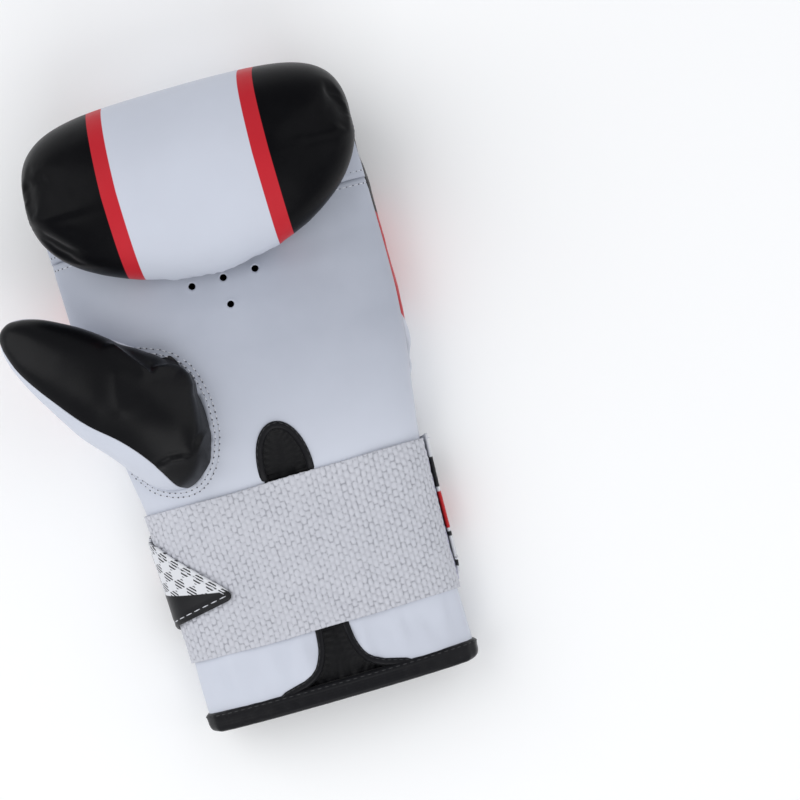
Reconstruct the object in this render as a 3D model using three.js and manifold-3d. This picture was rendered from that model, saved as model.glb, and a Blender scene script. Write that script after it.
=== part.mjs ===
// A padded bag glove for the left hand, in millimetres, lying on its back with the palm up.
// X runs across the hand with the thumb at -X, Y runs from the wrist to the knuckles, Z is up.
// The origin is on the flat of the padded back where the glove rests, at restDistance from the hem.
import * as THREE from 'three';
import Module from 'manifold-3d';

const wasm = await Module();
wasm.setup();

// Outline of the mitt
const gloveLength = 264; // hem to the front of the knuckles
const foldDistance = 226; // hem to the fold that the knuckle roll bends around
const restDistance = 172; // hem to the middle of the flat that the glove rests on
const cuffHalfWidth = 58;
const knuckleHalfWidth = 68;
const cuffRise = 34; // table to the palm leather at the hem
const palmRise = 45; // table to the highest palm leather
const foldHeight = 42;
const rollHeight = 76; // table to the top of the knuckle roll
const rollReach = 39.5; // fold to the free edge of the roll, back over the palm
const rollTaper = 0.055; // share of its width that the roll loses towards its free edge
const rollLean = 2; // how far the free edge leans to the thumb's side
const cuffLift = 4; // table to the cuff leather, which the strap and patch fill

// Walls
const leather = 2;
const padThickness = 16; // foam over the back of the hand and the knuckles
const rollEdgeThickness = 9; // foam at the free edge of the roll
const bandThickness = 2.6; // flat leather band along the wrist edge of the pad
const padEdge = 3; // stitched edge of the pad
const clearance = 0.3;
const creaseGap = 1.7; // half the gap inside the fold
const cutOver = 1; // how far a cutter runs past what it cuts
const crumb = 0.02; // a cut edge's steps under this size are taken out

// Wrist edge of the pad
const bandStart = 104;
const bandWidth = 13;
const bandRamp = 3; // along Y, from the flat band into the foam
const padSlope = 11; // end of the band to where the underside lies level
const foamStart = 14; // end of the band to where the foam is at foamStartShare
const foamStartShare = 0.7;
const foamFull = 45; // end of the band to where the foam is at padThickness
const cuffBackEnd = 116;
const palmPanelEnd = 208; // seam between the palm leather and the finger panel

// Slit in the palm leather over the wrist
const slitLength = 117; // hem to the top of the slit
const slitHalfWidth = 9;
const slitArchStart = 99; // hem to where the slit's round end begins
const slitCentre = 3; // X of the slit's middle
const slitBindingWidth = 2.5;
const gussetOverlap = 6;
const gussetThickness = 1.2;

// Hem binding
const hemWidth = 8.5;
const bindingThickness = 1.3;

// Strap and its printed patch
const strapStart = 31;
const strapEnd = 96;
const strapThickness = 1.8;
const strapBackEnd = -14; // X where the webbing stops under the patch
const patchThickness = 1.4;
const patchTipReach = 27; // how far the patch's pointed end runs onto the palm side
const tapeStart = 34;
const tapeEnd = 91;

// Thumb
const thumbX = -42.5;
const thumbDistance = 134;
const thumbHeight = 40;
const thumbTurn = 134; // degrees from +X to the thumb's direction, seen from above
const thumbRootTurn = 98; // the same for the oval that the thumb is sewn in at
const thumbRoll = 36; // degrees that the same oval leans down to the glove's side
const thumbLength = 72.5;
const thumbHalfWidth = 24;
const thumbHalfDepth = 24;
const thumbLift = 12; // root to the highest part of the thumb's own centre line
const thumbFaceWall = 2;
const thumbBackWall = 5;
const thumbFaceFrom = -6; // degrees round the section where the black face starts
const thumbFaceRootFrom = -24; // the same at the root
const thumbFaceTo = 145; // degrees round the section where it ends, along most of the thumb

// Vent holes
const ventRadius = 1.6;
const ventSpacing = 13.6;
const ventRowDistance = 183;
const ventLowDistance = 171.5;

const archSteps = 20; // facets across each arch, an even number

// Materials
const whiteLeather = new THREE.MeshStandardMaterial({ color: 0xe9eaee, roughness: 0.42 });
const blackLeather = new THREE.MeshStandardMaterial({ color: 0x101113, roughness: 0.38 });
const padLeather = new THREE.MeshStandardMaterial({ color: 0xe6e7ec, roughness: 0.4 });
const webbing = new THREE.MeshStandardMaterial({ color: 0xdcdcde, roughness: 0.85 });
const looped = new THREE.MeshStandardMaterial({ color: 0xd9d9e6, roughness: 0.95 });
const printed = new THREE.MeshStandardMaterial({ color: 0x8c2226, roughness: 0.4 });
const blackFabric = new THREE.MeshStandardMaterial({ color: 0x0d0e10, roughness: 0.8 });

// Points of an arch from -halfWidth to +halfWidth, as [x, share of the rise].
// A higher power makes squarer shoulders, and flat is the level share of its half width.
function arch(halfWidth, power, flat = 0, steps = archSteps) {
  const points = [];
  for (let i = 0; i <= steps; i++) {
    const angle = Math.PI * (1 - i / steps);
    const across = Math.abs(Math.cos(angle)) ** (2 / power);
    const side = i * 2 < steps ? -1 : 1;
    const middle = i * 2 === steps;
    const x = middle ? 0 : side * halfWidth * (flat + (1 - flat) * across);
    const share = i === 0 || i === steps ? 0 : Math.sin(angle) ** (2 / power);
    points.push([x, share]);
  }
  return points;
}

// A closed sheet between two grids of points with the same rows and columns.
function thickSheet(outer, inner) {
  const rows = outer.length;
  const columns = outer[0].length;
  const positions = [];
  for (const grid of [outer, inner]) for (const row of grid) for (const p of row) positions.push(...p);
  const at = (side, row, column) => (side * rows + row) * columns + column;
  const faces = [];
  const quad = (a, b, c, d) => faces.push(a, b, c, a, c, d);
  for (let r = 0; r + 1 < rows; r++) {
    for (let c = 0; c + 1 < columns; c++) {
      quad(at(0, r, c), at(0, r, c + 1), at(0, r + 1, c + 1), at(0, r + 1, c));
      quad(at(1, r, c), at(1, r + 1, c), at(1, r + 1, c + 1), at(1, r, c + 1));
    }
    quad(at(0, r, 0), at(0, r + 1, 0), at(1, r + 1, 0), at(1, r, 0));
    const last = columns - 1;
    quad(at(0, r + 1, last), at(0, r, last), at(1, r, last), at(1, r + 1, last));
  }
  for (let c = 0; c + 1 < columns; c++) {
    quad(at(0, 0, c + 1), at(0, 0, c), at(1, 0, c), at(1, 0, c + 1));
    const last = rows - 1;
    quad(at(0, last, c), at(0, last, c + 1), at(1, last, c + 1), at(1, last, c));
  }
  return solid(positions, faces);
}

// A manifold solid from flat lists, with its faces turned outwards.
function solid(positions, faces) {
  const mesh = (triVerts) => new wasm.Mesh({
    numProp: 3,
    vertProperties: new Float32Array(positions),
    triVerts: new Uint32Array(triVerts),
  });
  const made = new wasm.Manifold(mesh(faces));
  return made.volume() > 0 ? made : new wasm.Manifold(mesh([...faces].reverse()));
}

// A prism over an outline of [x, y] points, between two heights.
function prism(outline, low, high) {
  const flat = outline.map(([x, y]) => new THREE.Vector2(x, y));
  if (THREE.ShapeUtils.isClockWise(flat)) flat.reverse();
  const positions = [];
  for (const z of [low, high]) for (const { x, y } of flat) positions.push(x, y, z);
  const n = flat.length;
  const faces = [];
  for (const [a, b, c] of THREE.ShapeUtils.triangulateShape(flat, [])) {
    faces.push(c, b, a, a + n, b + n, c + n);
  }
  for (let i = 0; i < n; i++) {
    const next = (i + 1) % n;
    faces.push(i, next, next + n, i, next + n, i + n);
  }
  return solid(positions, faces);
}

function box(x, y, z) {
  return prism([[x[0], y[0]], [x[1], y[0]], [x[1], y[1]], [x[0], y[1]]], z[0], z[1]);
}

// A value between rows of {at, value} without overshoot.
function along(rows, at, key) {
  if (at <= rows[0].at) return rows[0][key];
  for (let i = 0; i + 1 < rows.length; i++) {
    const [from, to] = [rows[i], rows[i + 1]];
    if (at > to.at) continue;
    const slope = (a, b) => (b[key] - a[key]) / (b.at - a.at);
    const bend = (j) => {
      if (j === 0 || j === rows.length - 1) return 0;
      const [left, right] = [slope(rows[j - 1], rows[j]), slope(rows[j], rows[j + 1])];
      return left * right <= 0 ? 0 : 2 * left * right / (left + right);
    };
    const width = to.at - from.at;
    const t = (at - from.at) / width;
    const [t2, t3] = [t * t, t * t * t];
    return (2 * t3 - 3 * t2 + 1) * from[key] + (t3 - 2 * t2 + t) * width * bend(i)
      + (3 * t2 - 2 * t3) * to[key] + (t3 - t2) * width * bend(i + 1);
  }
  return rows[rows.length - 1][key];
}

// Cross-sections of the mitt from hem to fold. spread is the share of the way from the cuff's
// half width to the knuckles', seam and top are shares of the height named by their row.
const sectionRows = [
  { share: 0, spread: 0, seam: 0.5, top: 1, height: cuffRise },
  { share: 0.18, spread: 0, seam: 0.5, top: 1.02, height: cuffRise },
  { share: 0.4, spread: 0.16, seam: 0.54, top: 1.12, height: cuffRise },
  { share: 0.52, spread: 0.5, seam: 0.46, top: 0.94, height: palmRise },
  { share: 0.62, spread: 0.82, seam: 0.5, top: 0.99, height: palmRise },
  { share: 0.73, spread: 1, seam: 0.55, top: 1, height: palmRise },
  { share: 0.83, spread: 1.03, seam: 0.66, top: 1.02, height: foldHeight },
  { share: 0.93, spread: 1.03, seam: 0.78, top: 0.98, height: foldHeight },
];
const sections = sectionRows.map((row) => ({
  at: row.share * foldDistance,
  halfWidth: cuffHalfWidth + row.spread * (knuckleHalfWidth - cuffHalfWidth),
  seam: row.seam * row.height,
  top: row.top * row.height,
}));
const creaseRadius = creaseGap + leather;
sections.push({
  at: foldDistance,
  halfWidth: knuckleHalfWidth,
  seam: foldHeight - creaseRadius,
  top: foldHeight - creaseRadius + clearance,
});

// Underside of the mitt: the cuff hangs clear of the table, and the pad's band slopes down to it.
const bandMiddle = bandStart + bandWidth / 2;
const bandEnd = bandStart + bandWidth;
const padStart = bandEnd + padSlope;
const bandSlope = 0.1; // share of cuffLift that the underside drops along the band
const undersideRows = [
  { at: 0, z: cuffLift },
  { at: bandStart, z: cuffLift },
  { at: bandEnd, z: cuffLift * (1 - bandSlope) },
  { at: padStart, z: 0 },
];

function section(y) {
  return {
    halfWidth: along(sections, y, 'halfWidth'),
    seam: along(sections, y, 'seam'),
    top: along(sections, y, 'top'),
    bottom: along(undersideRows, y, 'z'),
  };
}

const palmPower = 2.4;
const undersidePower = 3.4;
const restFlat = 0.34; // level share of the underside's half width

// Palm side of the section at y, grown by offset, from the thumb seam to the far seam.
function palmArch(y, offset) {
  const { halfWidth, seam, top } = section(y);
  const rise = Math.max(top - seam + offset, clearance / 2);
  return arch(halfWidth + offset, palmPower)
    .map(([x, share]) => [x, y, seam + clearance / 2 + share * rise]);
}

// Underside of the section at y, grown by offset.
function underArch(y, offset) {
  const { halfWidth, seam, bottom } = section(y);
  const drop = seam - bottom + offset;
  return arch(halfWidth + offset, undersidePower, restFlat)
    .map(([x, share]) => [x, y, seam - clearance / 2 - share * drop]);
}

function evenly(from, to, steps) {
  return Array.from({ length: steps + 1 }, (_, i) => from + (to - from) * i / steps);
}

// A shell that follows the palm side between two offsets from the skin.
const palmShell = (ys, out, into) => thickSheet(
  ys.map((y) => palmArch(y, out)),
  ys.map((y) => palmArch(y, into)),
);

// The whole oval of the mitt as one solid, grown by offset.
const oval = (ys, offset) => thickSheet(
  ys.map((y) => palmArch(y, offset)),
  ys.map((y) => underArch(y, offset)),
);

// Stations along Y that the layers share, so that the gaps between them are even.
const wristYs = [hemWidth, ...evenly(strapStart, strapEnd, 5)];
const backYs = evenly(bandEnd + bandRamp / 2, palmPanelEnd, 8);
const foldYs = [0.45, 0.65, 0.85].map((share) => THREE.MathUtils.lerp(palmPanelEnd, foldDistance, share));

// Slit outline, grown by margin. half is a share of slitHalfWidth, at a share of slitArchStart.
const slitRows = [
  { share: 0, half: 3.7 },
  { share: 0.062, half: 3 },
  { share: 0.1, half: 1.6 },
  { share: 0.155, half: 0.93 },
  { share: 0.24, half: 0.6 },
  { share: 0.33, half: 0.52 },
  { share: 0.6, half: 0.76 },
  { share: 0.85, half: 0.96 },
];
const slitFoot = -5; // the outline starts this far outside the hem
function slitOutline(margin) {
  const right = slitRows.map(({ share, half }) => [half * slitHalfWidth + margin, share * slitArchStart]);
  const archRise = slitLength - slitArchStart + margin;
  const archTurns = 8;
  for (let i = 0; i <= archTurns; i++) {
    const angle = (Math.PI / 2) * (i / archTurns);
    right.push([(slitHalfWidth + margin) * Math.cos(angle), slitArchStart + archRise * Math.sin(angle)]);
  }
  const left = right.slice(0, -1).reverse().map(([x, y]) => [-x, y]);
  return [[right[0][0], slitFoot], ...right, ...left, [-right[0][0], slitFoot]]
    .map(([x, y]) => [x + slitCentre, y]);
}
const slitPrism = (margin) => prism(slitOutline(margin), cuffRise / 2, 2 * rollHeight);

// Thumb sheath. reach is a share of thumbLength, lift of thumbLift, width and depth of the
// thumb's half sizes, face of thumbFaceTo, and root how much of the root oval's turn and roll
// is left. tilt is the angle of the thumb's centre line above the palm.
const thumbRows = [
  { reach: -0.03, lift: -1, tilt: 86, root: 1, width: 0.97, depth: 1.27, face: 0.6 },
  { reach: 0, lift: -0.17, tilt: 78, root: 1, width: 0.97, depth: 1.27, face: 0.6 },
  { reach: 0.07, lift: 0.36, tilt: 57, root: 0.75, width: 1, depth: 1.02, face: 0.66 },
  { reach: 0.2, lift: 0.68, tilt: 34, root: 0.4, width: 0.97, depth: 0.78, face: 0.79 },
  { reach: 0.42, lift: 0.93, tilt: 16, root: 0.12, width: 0.83, depth: 0.62, face: 0.95 },
  { reach: 0.66, lift: 1, tilt: 6, root: 0, width: 0.68, depth: 0.5, face: 1 },
  { reach: 0.84, lift: 1, tilt: 2, root: 0, width: 0.51, depth: 0.39, face: 1.02 },
  { reach: 0.95, lift: 1, tilt: 0, root: 0, width: 0.31, depth: 0.26, face: 1.02 },
  { reach: 1, lift: 1, tilt: 0, root: 0, width: 0.12, depth: 0.1, face: 1.02 },
];
const heading = (degrees) => {
  const angle = THREE.MathUtils.degToRad(degrees);
  return new THREE.Vector3(Math.cos(angle), Math.sin(angle), 0);
};
const up = new THREE.Vector3(0, 0, 1);

const thumbLeast = 0.4; // least half size of the thumb's inside, at its tip

// A point of the thumb's skin, or inside it by the wall, at an angle round the section.
function thumbPoint(row, degrees, scale, wall, shift) {
  const tilt = THREE.MathUtils.degToRad(row.tilt);
  const roll = THREE.MathUtils.degToRad(row.root * thumbRoll);
  const angle = THREE.MathUtils.degToRad(degrees);
  const sectionTurn = THREE.MathUtils.lerp(thumbTurn, thumbRootTurn, row.root);
  const ahead = heading(sectionTurn);
  const across = heading(sectionTurn - 90).applyAxisAngle(ahead, -roll);
  const sectionUp = up.clone().applyAxisAngle(ahead, -roll)
    .multiplyScalar(Math.cos(tilt))
    .addScaledVector(ahead, -Math.sin(tilt));
  const halfWidth = Math.max(row.width * thumbHalfWidth - wall, thumbLeast) * scale;
  const halfDepth = Math.max(row.depth * thumbHalfDepth - wall, thumbLeast) * scale;
  return new THREE.Vector3(thumbX, thumbDistance, thumbHeight)
    .addScaledVector(heading(thumbTurn), row.reach * thumbLength)
    .addScaledVector(up, row.lift * thumbLift)
    .addScaledVector(across, halfWidth * Math.cos(angle))
    .addScaledVector(sectionUp, halfDepth * Math.sin(angle) + shift)
    .toArray();
}

// Thumb rows with more between them, for a smooth tube.
const thumbSteps = 16;
const thumbStations = evenly(0, thumbRows.length - 1, thumbSteps).map((at) => {
  const rows = thumbRows.map((row, i) => ({ ...row, at: i }));
  const keys = ['reach', 'lift', 'tilt', 'root', 'width', 'depth', 'face'];
  return Object.fromEntries(keys.map((key) => [key, along(rows, at, key)]));
});

// A closed tube from full rings of points, with a fan at each end.
function tube(rings) {
  const n = rings[0].length;
  const centre = (ring) => [0, 1, 2].map((k) => ring.reduce((sum, p) => sum + p[k], 0) / n);
  const positions = [...rings.flat(), centre(rings[0]), centre(rings[rings.length - 1])].flat();
  const faces = [];
  const start = rings.length * n;
  const lastRing = start - n;
  for (let i = 0; i < n; i++) {
    const next = (i + 1) % n;
    for (let r = 0; r + 1 < rings.length; r++) {
      const [a, b] = [r * n + i, r * n + next];
      faces.push(a, b, b + n, a, b + n, a + n);
    }
    faces.push(start, next, i, start + 1, lastRing + i, lastRing + next);
  }
  return solid(positions, faces);
}

const thumbSides = 24;
function thumbTube(wall, shift, stations) {
  return tube(stations.map((row) => Array.from(
    { length: thumbSides },
    (_, i) => thumbPoint(row, 360 * i / thumbSides, 1, wall, shift),
  )));
}

// The wedge of the thumb behind its black face, from its core out past its skin, widened at
// both seams. core is a share of the thumb's half sizes.
const wedgeSides = 12;
const wedgeScale = 1.25; // how far out the wedge runs, as a share of the same
function faceWedge(core, widened) {
  const grid = (scale) => thumbStations.map((row) => {
    const degrees = THREE.MathUtils.radToDeg(widened / (row.width * thumbHalfWidth));
    const from = THREE.MathUtils.lerp(thumbFaceFrom, thumbFaceRootFrom, row.root) - degrees;
    return evenly(from, row.face * thumbFaceTo + degrees, wedgeSides)
      .map((angle) => thumbPoint(row, angle, scale, 0, 0));
  });
  return thickSheet(grid(wedgeScale), grid(core));
}

// Padded back and knuckle roll. Each station spans from the stitched edge to the outer middle.
const padStations = [];
function padStation(middle, edge, halfWidth, power, flat, thickness, rim, lean = 0) {
  const grid = (width, mid) => arch(width, power, flat).map(([x, share]) => [
    x - lean,
    edge[0] + (mid[0] - edge[0]) * share,
    edge[1] + (mid[1] - edge[1]) * share,
  ]);
  const depth = Math.hypot(middle[0] - edge[0], middle[1] - edge[1]);
  const inward = Math.max(1 - thickness / depth, 0.05);
  const inner = [0, 1].map((k) => edge[k] + (middle[k] - edge[k]) * inward);
  padStations.push({ outer: grid(halfWidth, middle), inner: grid(halfWidth - rim, inner) });
}

const foamRows = [
  { at: bandStart, thickness: bandThickness, rim: bandThickness },
  { at: bandEnd, thickness: bandThickness, rim: bandThickness },
  { at: bandEnd + foamStart, thickness: padThickness * foamStartShare, rim: padEdge },
  { at: bandEnd + foamFull, thickness: padThickness, rim: padEdge },
];
for (const y of [bandStart, bandMiddle, bandEnd - bandRamp / 2, ...backYs, ...foldYs]) {
  const { halfWidth, seam, bottom } = section(y);
  const onBand = along([{ at: bandEnd, z: 1 }, { at: padStart, z: 0 }], y, 'z');
  const middle = [y, Math.max(bottom - onBand * (bandThickness + clearance), 0)];
  const edge = [y, seam - clearance / 2];
  padStation(middle, edge, halfWidth, undersidePower, restFlat,
    along(foamRows, y, 'thickness'), along(foamRows, y, 'rim'));
}

// The roll turns round the fold: first under and in front of it, then back over the palm.
const edgeRadius = creaseRadius + clearance;
const front = gloveLength - foldDistance;
const rollMiddle = rollHeight / 2;
const rollBase = foldHeight + edgeRadius; // height of the roll's stitched underside
const frontPower = 2.2;
const reachPower = 2.3;
const rollPower = 3.8; // bow of the roll's front, seen from above
const rollEdgePower = 1.7; // the same of its free edge
const rollTurns = 16;
for (let i = 0; i <= rollTurns; i++) {
  const degrees = -90 + 270 * i / rollTurns;
  const angle = THREE.MathUtils.degToRad(degrees);
  const past = Math.max(degrees - 90, 0) / 90; // 0 until the top of the roll, 1 at its free edge
  const power = degrees < 90 ? frontPower : reachPower;
  const forward = Math.sign(Math.cos(angle)) * Math.abs(Math.cos(angle)) ** (2 / power);
  const upward = Math.sign(Math.sin(angle)) * Math.abs(Math.sin(angle)) ** (2 / power);
  const middle = degrees <= 90
    ? [foldDistance + front * forward, rollMiddle * (1 + upward)]
    : [foldDistance + rollReach * forward, rollBase + (rollHeight - rollBase) * upward];
  const edge = degrees <= 90
    ? [foldDistance + edgeRadius * Math.cos(angle), foldHeight + edgeRadius * Math.sin(angle)]
    : [foldDistance - edgeRadius * past, rollBase];
  const under = Math.max(-degrees, 0) / 90; // 1 where the roll leaves the flat of the back
  padStation(middle, edge, knuckleHalfWidth * (1 - rollTaper * past),
    THREE.MathUtils.lerp(
      THREE.MathUtils.lerp(rollPower, undersidePower, under),
      rollEdgePower,
      Math.sqrt(past),
    ),
    restFlat * under ** 2,
    THREE.MathUtils.lerp(padThickness, rollEdgeThickness, past),
    padEdge,
    rollLean * past);
}
const backPad = thickSheet(padStations.map((s) => s.outer), padStations.map((s) => s.inner));

// Palm leather, with the thumb's hole, the slit and the vents cut through it
const thumbInside = thumbTube(
  (thumbFaceWall + thumbBackWall) / 2,
  (thumbBackWall - thumbFaceWall) / 2,
  thumbStations.slice(0, -2),
);
const rawEdge = bindingThickness + clearance; // hem to the leather's raw edge in the binding
const palmYs = [rawEdge, ...wristYs, bandStart, bandMiddle, ...backYs];
const ventSides = 10;
const ventCutter = (x, y) => prism(
  evenly(0, 2 * Math.PI, ventSides).slice(1).map((angle) => [
    x + ventRadius * Math.cos(angle),
    y + ventRadius * Math.sin(angle),
  ]),
  foldHeight / 2,
  2 * rollHeight,
);
let palmPanel = palmShell(palmYs, 0, -leather)
  .subtract(slitPrism(slitBindingWidth + clearance))
  .subtract(thumbInside);
for (const [x, y] of [
  [-ventSpacing, ventRowDistance],
  [0, ventRowDistance],
  [ventSpacing, ventRowDistance],
  [0, ventLowDistance],
]) palmPanel = palmPanel.subtract(ventCutter(x, y));

// Slit binding, set flush in the palm leather
const beyond = 2 * gloveLength; // past the glove on every side
const aboveHem = box([-beyond, beyond], [hemWidth + clearance, beyond], [-beyond, beyond]);
const slitYs = [0, ...wristYs, bandStart, bandMiddle, ...backYs.slice(0, 2)];
const slitBinding = palmShell(slitYs, 0, -leather)
  .intersect(slitPrism(slitBindingWidth))
  .subtract(slitPrism(0))
  .intersect(aboveHem);

// Gusset behind the slit
const gussetTop = -leather - clearance;
const slitGusset = palmShell(slitYs, gussetTop, gussetTop - gussetThickness)
  .intersect(slitPrism(gussetOverlap))
  .intersect(aboveHem);

// Finger panel: along under the roll, round the fold and back to the roll's free edge
const fingerOuter = [];
const fingerInner = [];
for (const y of [palmPanelEnd + clearance, ...foldYs, foldDistance]) {
  fingerOuter.push(palmArch(y, 0));
  fingerInner.push(palmArch(y, -leather));
}
const foldRow = (radius, degrees, halfWidth) => {
  const angle = THREE.MathUtils.degToRad(degrees);
  const y = foldDistance + radius * Math.cos(angle);
  const z = foldHeight + radius * Math.sin(angle);
  return arch(halfWidth, palmPower).map(([x]) => [x, y, z]);
};
const foldTurns = 6;
for (let i = 1; i <= foldTurns; i++) {
  const degrees = -90 + 180 * i / foldTurns;
  const halfWidth = knuckleHalfWidth - clearance - leather * (i / foldTurns);
  fingerOuter.push(foldRow(creaseGap, degrees, halfWidth));
  fingerInner.push(foldRow(creaseRadius, degrees, halfWidth));
}
const rollDepth = rollReach - edgeRadius; // stitched underside of the roll, along Y
const rollHalfWidth = knuckleHalfWidth * (1 - rollTaper);
for (const share of [0.05, 0.3, 0.5, 0.68, 0.82, 0.92, 0.985]) {
  const y = foldDistance - edgeRadius - share * rollDepth;
  const halfWidth = rollHalfWidth * (1 - share ** rollEdgePower) ** (1 / rollEdgePower) - clearance;
  const row = (z) => arch(halfWidth, palmPower).map(([x]) => [x - rollLean, y, z]);
  fingerOuter.push(row(foldHeight + creaseGap));
  fingerInner.push(row(foldHeight + creaseRadius));
}
const fingerPanel = thickSheet(fingerOuter, fingerInner);

// Thumb sheath, trimmed to the palm leather
const thumbShell = thumbTube(0, 0, thumbStations).subtract(thumbInside).subtract(oval(palmYs, clearance));
const thumbFace = thumbShell.intersect(faceWedge(0.1, 0));
const thumbBack = thumbShell.subtract(faceWedge(0.02, clearance));

// Cuff leather under the wrist, tucked inside the pad's band
const tuckStart = bandStart - padEdge;
const cuffYs = [rawEdge, ...wristYs, tuckStart, bandStart, bandMiddle, cuffBackEnd];
const tuck = (y) => (y > tuckStart ? bandThickness + clearance : 0);
const cuffArch = (y, offset) => {
  const { halfWidth, seam, bottom } = section(y);
  return arch(halfWidth + offset - tuck(y), undersidePower, restFlat)
    .map(([x, share]) => [x, y, seam - clearance / 2 - share * (seam - bottom + offset)]);
};
const cuffBack = thickSheet(cuffYs.map((y) => cuffArch(y, 0)), cuffYs.map((y) => cuffArch(y, -leather)));

// Hem binding: a folded tape round both faces of the cuff's raw edge
const hemOuter = oval([0, hemWidth], clearance + bindingThickness);
const hemInner = oval([-cutOver, hemWidth + cutOver], -leather - clearance - bindingThickness);
const hemChannel = oval([bindingThickness, hemWidth + cutOver], clearance)
  .subtract(oval([-cutOver, hemWidth + 2 * cutOver], -leather - clearance));
const hemBinding = hemOuter.subtract(hemInner).subtract(hemChannel);

// Strap webbing, loop tape and printed patch, in layers round the wrist
const strapYs = wristYs.slice(1);
const widened = (ys, by) => [ys[0] - by, ...ys.slice(1, -1), ys[ys.length - 1] + by];
const ringOf = (ys, into, out) => oval(ys, out).subtract(oval(widened(ys, cutOver), into));
const seamHeight = section((strapStart + strapEnd) / 2).seam;
const backOfWrist = box([strapBackEnd, beyond], [0, gloveLength], [-beyond, seamHeight]);
const tapeRoom = box(
  [strapBackEnd + clearance, beyond],
  [tapeStart, tapeEnd],
  [-beyond, seamHeight - clearance],
);
const strapRing = ringOf(strapYs, clearance, clearance + strapThickness);
const strap = strapRing.subtract(backOfWrist);
const loopTape = strapRing.intersect(tapeRoom);

// Patch outline on the back of the wrist, and its pointed end on the palm side. height is a
// share of the strap's width, across of the cuff's half width and reach of patchTipReach.
const patchSideHigh = 0.82; // the patch's edges where it passes round the thumb's side
const patchSideLow = 0.25;
const patchBackRows = [
  { across: -1.5, height: patchSideHigh },
  { across: -1.05, height: patchSideHigh },
  { across: -0.94, height: 0.9 },
  { across: -0.5, height: 1.02 },
  { across: 0.8, height: 1 },
  { across: 1.25, height: 1.03 },
  { across: 1.12, height: 0.5 },
  { across: 0.96, height: 0.02 },
  { across: -0.45, height: 0 },
  { across: -0.9, height: 0.06 },
  { across: -1.05, height: patchSideLow },
  { across: -1.5, height: patchSideLow },
];
const patchTipRows = [
  { reach: -1, height: patchSideHigh },
  { reach: -0.1, height: patchSideHigh },
  { reach: 0.97, height: 0.41 },
  { reach: 1, height: 0.37 },
  { reach: 0.98, height: 0.33 },
  { reach: -0.1, height: patchSideLow },
  { reach: -1, height: patchSideLow },
];
const patchOver = 3; // how far the patch may run past the strap's edges
const strapHeight = (share) => THREE.MathUtils.lerp(strapStart, strapEnd, share);
const patchBack = patchBackRows.map(({ across, height }) => [across * cuffHalfWidth, strapHeight(height)]);
const patchTip = patchTipRows.map(({ reach, height }) => [
  reach * patchTipReach - cuffHalfWidth,
  strapHeight(height),
]);
const patchInto = 2 * clearance + strapThickness;
const patch = ringOf(widened(strapYs, patchOver), patchInto, patchInto + patchThickness)
  .intersect(prism(patchBack, -beyond, seamHeight).add(prism(patchTip, seamHeight, beyond)));

// Scene graph
const glove = new THREE.Group();
const fromHem = new THREE.Group();
fromHem.position.y = -restDistance;
glove.add(fromHem);

// A cut leaves flat crumbs of no volume along its edges, so only the piece itself is kept.
function withoutCrumbs(made) {
  const bodies = made.simplify(crumb).decompose();
  return bodies.reduce((best, body) => (body.volume() > best.volume() ? body : best));
}

function addPiece(name, made, material) {
  const { vertProperties, triVerts } = withoutCrumbs(made).getMesh();
  const geometry = new THREE.BufferGeometry();
  geometry.setAttribute('position', new THREE.BufferAttribute(new Float32Array(vertProperties), 3));
  geometry.setIndex(new THREE.BufferAttribute(new Uint32Array(triVerts), 1));
  geometry.computeVertexNormals();
  const mesh = new THREE.Mesh(geometry, material);
  mesh.name = name;
  fromHem.add(mesh);
}

addPiece('back_pad', backPad, padLeather);
addPiece('palm_panel', palmPanel, whiteLeather);
addPiece('finger_panel', fingerPanel, whiteLeather);
addPiece('thumb_face', thumbFace, blackLeather);
addPiece('thumb_back', thumbBack, whiteLeather);
addPiece('cuff_back', cuffBack, whiteLeather);
addPiece('slit_gusset', slitGusset, blackFabric);
addPiece('slit_binding', slitBinding, blackFabric);
addPiece('hem_binding', hemBinding, blackFabric);
addPiece('wrist_strap', strap, webbing);
addPiece('loop_tape', loopTape, looped);
addPiece('strap_patch', patch, printed);

export default glove;
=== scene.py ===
# %% [markdown]
# # A padded bag glove, dressed in Blender
#
# The CAD model of the glove is already solid and to size. This lesson gives it the look of the
# real thing: shiny white and black leather, a padded back that swells between its seams, knitted
# elastic round the wrist, a printed patch, and a great many stitches. Each piece is made where
# the CAD says it is, in metres, so nothing has to be moved or scaled afterwards.

import functools
import math

import bmesh
import bpy
from mathutils import Matrix, Vector, noise


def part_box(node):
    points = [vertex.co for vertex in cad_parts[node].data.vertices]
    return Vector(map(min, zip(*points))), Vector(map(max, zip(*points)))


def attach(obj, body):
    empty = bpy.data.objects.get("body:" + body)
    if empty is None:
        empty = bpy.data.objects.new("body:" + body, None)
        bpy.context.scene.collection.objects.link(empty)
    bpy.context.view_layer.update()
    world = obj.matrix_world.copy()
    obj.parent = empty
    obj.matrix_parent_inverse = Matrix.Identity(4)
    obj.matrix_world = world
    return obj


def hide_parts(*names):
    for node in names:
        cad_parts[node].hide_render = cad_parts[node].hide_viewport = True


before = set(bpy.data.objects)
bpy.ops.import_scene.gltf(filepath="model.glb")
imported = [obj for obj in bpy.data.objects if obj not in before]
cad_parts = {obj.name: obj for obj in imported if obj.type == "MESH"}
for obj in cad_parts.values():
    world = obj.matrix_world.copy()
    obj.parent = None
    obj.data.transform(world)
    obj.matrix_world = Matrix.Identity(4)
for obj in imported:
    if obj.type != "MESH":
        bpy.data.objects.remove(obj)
scene = bpy.context.scene
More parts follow.
